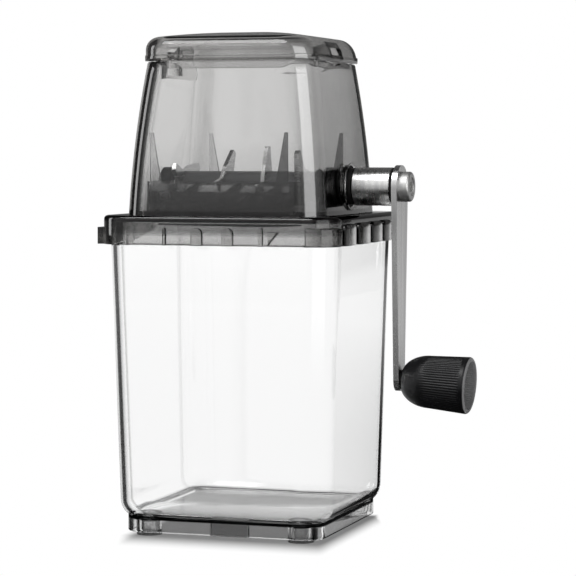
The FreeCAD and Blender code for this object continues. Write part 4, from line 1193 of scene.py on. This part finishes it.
def grip_rings(outline, along, outward):
    """Grip that stands out from a side, with round outer edges; along and outward are level unit vectors."""
    rings = []
    for reach, inset in (
            (collar_half - grip_root, 0.0), (grip_half - grip_round, 0.0),
            (grip_half - 0.3 * grip_round, 0.3 * grip_round), (grip_half, grip_round)):
        points = []
        for across, up in outline(inset):
            x = along[0] * across + outward[0] * reach
            y = along[1] * across + outward[1] * reach
            points.append((x, y, collar_bottom + up))
        rings.append(points)
    return rings


def make_collar():
    """Deck and skirt with finger ribs, a latch and its ramp, side panels, lugs and two raised corners."""
    collar = solid("collar_shell", collar_rings())
    fronts = [tab_outline(x, width, rib_height) for x, width in rib_places]
    fronts += [tab_outline(latch_place, latch_width, corner_height), ramp_outline]
    sides = [tab_outline(y, width, panel_height) for y, width in panel_places]
    stacks = []
    for turn in (1, -1):
        stacks += [grip_rings(outline, (turn, 0), (0, -turn)) for outline in fronts]
        stacks += [grip_rings(outline, (0, turn), (turn, 0)) for outline in sides]
    combine(collar, cluster("grips", stacks), "UNION")
    top = collar_bottom + corner_height
    band = solid("band", [
        ring(grip_half, grip_corner, collar_bottom), ring(grip_half, grip_corner, top - grip_round),
        ring(grip_half - 0.3 * grip_round, grip_corner, top - 0.3 * grip_round),
        ring(grip_half - grip_round, grip_corner, top)])
    core = [ring(collar_half - grip_root, collar_corner, z) for z in (collar_bottom - 1, top + 1)]
    combine(band, solid("core", core), "DIFFERENCE")
    lugs = []
    for turn in (1, -1):
        x0, x1 = sorted((turn * collar_inner_half, turn * (grip_half - 0.05)))
        y0, y1 = sorted((turn * lug_start, turn * lug_end))
        lugs.append(block_rings(x0, x1, y0, y1, collar_bottom + 0.02, collar_bottom + lug_height, 0.5))
    combine(collar, cluster("lugs", lugs), "UNION")
    corners = []
    for turn in (1, -1):
        x0, x1 = sorted((turn * corner_grip_x, turn * (grip_half + 1)))
        y0, y1 = sorted((turn * corner_grip_y, -turn * (grip_half + 1)))
        corners.append(block_rings(x0, x1, y0, y1, collar_bottom - 0.5, top + 0.5, 0.5))
    combine(band, cluster("corners", corners), "INTERSECT")
    combine(collar, band, "UNION")
    cuts = [block_rings(*deck_opening, deck_under - 2, deck_z + 2, 0.3)]
    for x, y in head_screw_places():
        profile = [(deck_under - 1, screw_bore), (deck_z + 1, screw_bore)]
        cuts.append(rod_rings((x, y, 0), (0, 0, 1), profile, 24))
    combine(collar, cluster("openings", cuts), "DIFFERENCE")
    smooth(collar)
    settle(collar, collar_plastic, "head", "collar")


# ---------------------------------------------------------------- container

jar_floor = 2.6
jar_wall = 2.2
jar_low_half = 55.2
jar_high_half = 58.5
jar_rim_half = 58.2
jar_edge = 10.0
jar_corner = 14.0
jar_inner_corner = 14.8
jar_shoulder = 145.1
jar_top = 156.4
jar_rim_round = 0.7
skirt_wall = 2.0
skirt_corner = 10.1
skirt_lap = 3.0
skirt_round = 0.4
pad_height = 1.7
pad_bore = 3.85
pad_bore_top = 7.2
foot_lap = 2.2


def jar_levels(inset, bottom):
    """Half width, corner radius and height of the jar's surface from its bottom up to the shoulder."""
    radius = jar_edge - inset
    corner = jar_inner_corner if inset else jar_corner
    levels = []
    for a, b in arc(jar_low_half - jar_edge, bottom + radius, radius, -90.0, 0.0, 10):
        levels.append((a, corner - (jar_low_half - inset - a), b))
    low_half, _, low_z = levels[-1]
    for share in (0.25, 0.5, 0.75, 1.0):
        half = low_half + (jar_high_half - inset - low_half) * share
        levels.append((half, corner, low_z + (jar_shoulder - 0.6 - low_z) * share))
    levels.append((jar_rim_half - inset, corner, jar_shoulder))
    return levels


def make_container():
    """Clear jar with a round lower edge, standing on a thin skirt, two finger tabs and four feet."""
    outside = [ring(half, corner, z) for half, corner, z in jar_levels(0.0, jar_bottom)]
    inside = [ring(half, corner, z) for half, corner, z in jar_levels(jar_wall, jar_bottom + jar_floor)]
    rim = []
    for a, b in arc(jar_rim_half - jar_rim_round, jar_top - jar_rim_round, jar_rim_round, 0.0, 90.0, 4):
        rim.append(ring(a, jar_corner, b))
    inner_half = jar_rim_half - jar_wall
    for a, b in arc(inner_half + jar_rim_round, jar_top - jar_rim_round, jar_rim_round, 90.0, 180.0, 4):
        rim.append(ring(a, jar_inner_corner, b))
    container = solid("container_shell", outside + rim + list(reversed(inside)))
    inner = skirt_half - skirt_wall
    inner_corner = skirt_corner - skirt_wall
    top = jar_bottom + skirt_lap
    turn = skirt_round
    skirt = solid("skirt", [
        ring(skirt_half, skirt_corner, top), ring(skirt_half, skirt_corner, skirt_low + turn),
        ring(skirt_half - turn, skirt_corner - turn, skirt_low),
        ring(inner + turn, inner_corner + turn, skirt_low),
        ring(inner, inner_corner, skirt_low + turn), ring(inner, inner_corner, top)], closed=True)
    combine(container, skirt, "UNION")
    stacks = []
    for side in (-1, 1):
        y0, y1 = sorted((side * (skirt_half - 0.05), side * (skirt_half - tab_depth)))
        x0 = -side * tab_offset - tab_half
        stacks.append(block_rings(x0, x0 + 2 * tab_half, y0, y1, skirt_low + 0.02, jar_bottom + 1.8, 0.3))
    combine(container, cluster("tabs", stacks), "UNION")
    feet = []
    bores = []
    for sx in (-1, 1):
        for sy in (-1, 1):
            centre = (sx * foot_reach_x, sy * foot_reach_y, 0.0)
            feet.append(rod_rings(
                centre, (0, 0, 1), [(pad_height, foot_radius), (jar_bottom + foot_lap, foot_radius)]))
            bores.append(rod_rings(
                centre, (0, 0, 1), [(pad_height - 1.0, pad_bore), (pad_bore_top, pad_bore)], 48))
    combine(container, cluster("feet", feet), "UNION")
    combine(container, cluster("bores", bores), "DIFFERENCE")
    smooth(container)
    settle(container, clear_plastic, "container", "container")


# ---------------------------------------------------------------- studio

floor_radius = 2.6
shadow_length = 0.038
shadow_grey = 0.15
shadow_round = 0.012
shadow_end_inset = 0.007
shadow_along = (0.324, 0.946)
shadow_end_fall = 4.0
floor_colour = 0.78
floor_steps = 96
floor_sheen_near = 0.02
floor_sheen_far = 0.70
floor_sheen_reach = (0.35, 1.2)
floor_panel_reach = (0.5, 0.9)
world_diffuse = 0.4
panel_from = 26.0
panel_to = 84.0
panel_soft = 6.0
panel_strength = 2.0
low_panel_strength = 1.5
tent_rise = [(0.0, 1.0), (0.55, 1.0), (0.85, 0.12)]
front_rise = [(-0.1, 0.5), (0.05, 0.55), (0.28, 1.0), (0.80, 1.0), (0.88, 0.12), (1.0, 0.1)]
back_rise = [(-0.1, 1.0), (0.0, 0.8), (0.035, 0.14), (1.0, 0.09)]
panel_rise = [(-0.3, 0.0), (-0.2, 1.0), (0.50, 1.0), (0.64, 0.0)]
front_turn = [(-115.0, 0.0), (-80.0, 1.0), (80.0, 1.0), (115.0, 0.0)]
side_turn = [(-150.0, 1.0), (-132.0, 0.15), (-75.0, 0.15), (-55.0, 1.0), (5.0, 1.0), (20.0, 0.4),
             (165.0, 0.6), (175.0, 1.0)]
panel_turn = [(panel_from, 0.0), (panel_from + panel_soft, 1.0), (panel_to - panel_soft, 1.0),
              (panel_to, 0.0)]


def compass(degrees):
    """Place of an azimuth, measured from the front towards the crank, on a ramp from 0 to 1."""
    return (degrees + 180.0) / 360.0


def grey_stops(stops, place):
    """Ramp stops of plain greys."""
    return [(place(value), (grey, grey, grey)) for value, grey in stops]


def half_turn(sine):
    """Place of a direction's rise, from straight down to straight up, on a ramp from 0 to 1."""
    return (sine + 1.0) / 2.0


def make_world():
    """White surroundings to the camera and through glass; reflections see soft panels and a dark ceiling."""
    world = bpy.data.worlds.new("studio")
    world.use_nodes = True
    bpy.context.scene.world = world
    tree = world.node_tree
    tree.nodes.clear()
    output = tree.nodes.new("ShaderNodeOutputWorld")
    place = tree.nodes.new("ShaderNodeTexCoord")
    split = tree.nodes.new("ShaderNodeSeparateXYZ")
    tree.links.new(place.outputs["Generated"], split.inputs[0])
    rise = range_node(tree, split.outputs["Z"], -1.0, 1.0, 0.0, 1.0)
    backwards = math_node(tree, "MULTIPLY", split.outputs["Y"], -1.0)
    azimuth = math_node(tree, "ARCTAN2", split.outputs["X"], backwards)
    around = range_node(tree, azimuth, -math.pi, math.pi, 0.0, 1.0)
    tent = ramp_node(tree, rise, grey_stops(tent_rise, half_turn))
    front = ramp_node(tree, rise, grey_stops(front_rise, half_turn))
    back = ramp_node(tree, rise, grey_stops(back_rise, half_turn))
    height = ramp_node(tree, rise, grey_stops(panel_rise, half_turn))
    forward = ramp_node(tree, around, grey_stops(front_turn, compass))
    side = ramp_node(tree, around, grey_stops(side_turn, compass))
    width = ramp_node(tree, around, grey_stops(panel_turn, compass))
    panel = blend(tree, "MULTIPLY", width, height)
    shown = blend(tree, "MULTIPLY", blend(tree, "MIX", back, front, forward), side)
    backgrounds = []
    views = ((tent, world_diffuse), (shown, 1.0), (panel, panel_strength), (tent, 1.0), (None, 1.0))
    for colour, strength in views:
        node = add(tree, "ShaderNodeBackground", Strength=strength)
        node.inputs["Color"].default_value = (1.0, 1.0, 1.0, 1.0)
        if colour is not None:
            tree.links.new(colour, node.inputs["Color"])
        backgrounds.append(node.outputs[0])
    mirrored = tree.nodes.new("ShaderNodeAddShader")
    tree.links.new(backgrounds[1], mirrored.inputs[0])
    tree.links.new(backgrounds[2], mirrored.inputs[1])
    light_path = tree.nodes.new("ShaderNodeLightPath")
    seen = backgrounds[0]
    layers = (mirrored.outputs[0], backgrounds[3], backgrounds[4])
    for ray, background in zip(("Is Glossy Ray", "Is Transmission Ray", "Is Camera Ray"), layers):
        seen = mix_shaders(tree, light_path.outputs[ray], seen, background)
    tree.links.new(seen, output.inputs["Surface"])


def smooth_greater(tree, first, second, distance):
    """The greater of two values, rounded where they meet."""
    greater = math_node(tree, "SMOOTH_MAX", first, second)
    greater.node.inputs[2].default_value = distance
    return greater


def shadow_distance(tree, x, y):
    """Distance from the skirt's front and crank side into the painted shadow, which ends short of both far
    ends.
    """
    edge = skirt_half * mm
    across, along = shadow_along
    ahead = math_node(tree, "SUBTRACT", math_node(tree, "MULTIPLY", y, -1.0), edge)
    aside = math_node(tree, "SUBTRACT", x, edge)
    before = math_node(tree, "DIVIDE", ahead, along)
    right = math_node(tree, "DIVIDE", aside, across)
    drift = math_node(tree, "MULTIPLY", math_node(tree, "MAXIMUM", ahead, 0.0), across / along)
    left = math_node(tree, "SUBTRACT", drift, math_node(tree, "ADD", x, edge))
    climb = math_node(tree, "MULTIPLY", math_node(tree, "MAXIMUM", aside, 0.0), along / across)
    behind = math_node(tree, "ADD", math_node(tree, "SUBTRACT", y, edge), climb)
    last = math_node(tree, "ADD", math_node(tree, "MAXIMUM", left, behind), shadow_end_inset)
    ends = math_node(tree, "MULTIPLY", last, shadow_end_fall)
    return smooth_greater(tree, smooth_greater(tree, before, right, shadow_round), ends, shadow_round)


def make_floor_material():
    """Pale floor with a short shadow in front of the feet, mostly painted in its glow and partly real; it
    turns white farther out, and to reflections it glows dark near the feet as painted shade, lighter farther
    out, with a painted bright panel beyond.
    """
    material, tree, shader, output = start_material("pale_floor")
    shader.inputs["Roughness"].default_value = 0.9
    shader.inputs["Specular IOR Level"].default_value = 0.0
    place = tree.nodes.new("ShaderNodeTexCoord").outputs["Object"]
    split = tree.nodes.new("ShaderNodeSeparateXYZ")
    tree.links.new(place, split.inputs[0])
    x, y = split.outputs["X"], split.outputs["Y"]
    away = shadow_distance(tree, x, y)
    rays = tree.nodes.new("ShaderNodeLightPath").outputs
    seen = math_node(tree, "MAXIMUM", rays["Is Camera Ray"], rays["Is Transmission Ray"])
    pale = (floor_colour, floor_colour, floor_colour)
    dim = (shadow_grey, shadow_grey, shadow_grey)
    # painted shadow: for camera and see-through rays the colour drops to the shadow grey and the glow rises
    # from that grey to white
    tree.links.new(ramp_node(tree, seen, [(0.0, pale), (1.0, dim)]), shader.inputs["Base Color"])
    glow = add(tree, "ShaderNodeEmission")
    tree.links.new(range_node(tree, away, 0.0, shadow_length, shadow_grey, 1.0), glow.inputs["Strength"])
    none = tree.nodes.new("ShaderNodeBsdfDiffuse")
    none.inputs["Color"].default_value = (0.0, 0.0, 0.0, 1.0)
    near = tree.nodes.new("ShaderNodeAddShader")
    tree.links.new(shader.outputs[0], near.inputs[0])
    tree.links.new(mix_shaders(tree, seen, none.outputs[0], glow.outputs[0]), near.inputs[1])
    white = add(tree, "ShaderNodeEmission", Strength=1.0)
    far = range_node(tree, away, 0.0, shadow_length, 0.0, 1.0)
    faded = math_node(tree, "MULTIPLY", seen, math_node(tree, "POWER", far, 2.0))
    shown = mix_shaders(tree, faded, near.outputs[0], white.outputs[0])
    length = add(tree, "ShaderNodeVectorMath", operation="LENGTH")
    tree.links.new(place, length.inputs[0])
    reach = length.outputs["Value"]
    # what reflections see: painted shade near the feet and a painted bright panel farther out
    dark = range_node(tree, reach, *floor_sheen_reach, floor_sheen_near, floor_sheen_far)
    azimuth = math_node(tree, "ARCTAN2", x, math_node(tree, "MULTIPLY", y, -1.0))
    around = range_node(tree, azimuth, -math.pi, math.pi, 0.0, 1.0)
    lit = range_node(tree, reach, *floor_panel_reach, 0.0, low_panel_strength)
    width = ramp_node(tree, around, grey_stops(panel_turn, compass))
    panel = math_node(tree, "MULTIPLY", width, lit)
    sheen = add(tree, "ShaderNodeEmission")
    tree.links.new(math_node(tree, "ADD", dark, panel), sheen.inputs["Strength"])
    through = math_node(tree, "SUBTRACT", 1.0, rays["Is Transmission Ray"])
    mirrored = math_node(tree, "MULTIPLY", rays["Is Glossy Ray"], through)
    final = mix_shaders(tree, mirrored, shown, sheen.outputs[0])
    tree.links.new(final, output.inputs["Surface"])
    return material


def make_floor():
    """Round floor under the feet."""
    turns = [2 * math.pi * step / floor_steps for step in range(floor_steps)]
    corners = [(floor_radius * math.cos(turn), floor_radius * math.sin(turn), 0.0) for turn in turns]
    mesh = bpy.data.meshes.new("floor")
    mesh.from_pydata(corners, [], [list(range(floor_steps))])
    floor = bpy.data.objects.new("floor", mesh)
    bpy.context.scene.collection.objects.link(floor)
    mesh.materials.append(make_floor_material())


def make_lamp(name, place, aim, width, height, power):
    """Soft rectangular lamp that faces a point."""
    data = bpy.data.lights.new(name, "AREA")
    data.shape = "RECTANGLE"
    data.size = width
    data.size_y = height
    data.energy = power
    lamp = bpy.data.objects.new(name, data)
    lamp.location = place
    lamp.rotation_euler = (Vector(aim) - Vector(place)).to_track_quat("-Z", "Y").to_euler()
    bpy.context.scene.collection.objects.link(lamp)


def make_lamps():
    """Weak tall softbox at the left and a top light."""
    middle = (0.0, 0.0, 0.15)
    make_lamp("left_softbox", (-1.1, -0.22, 0.42), middle, 0.3, 0.6, 3.0)
    make_lamp("top_softbox", (-0.25, -0.55, 1.15), middle, 0.7, 0.5, 7.0)


make_camera()
dress_nodes()
make_knob()
make_hopper()
make_lid()
make_collar()
make_container()
make_world()
make_floor()
make_lamps()

scene = bpy.context.scene
scene.view_settings.view_transform = "Standard"
scene.cycles.transparent_max_bounces = 32
scene.cycles.max_bounces = 40
scene.cycles.transmission_bounces = 40
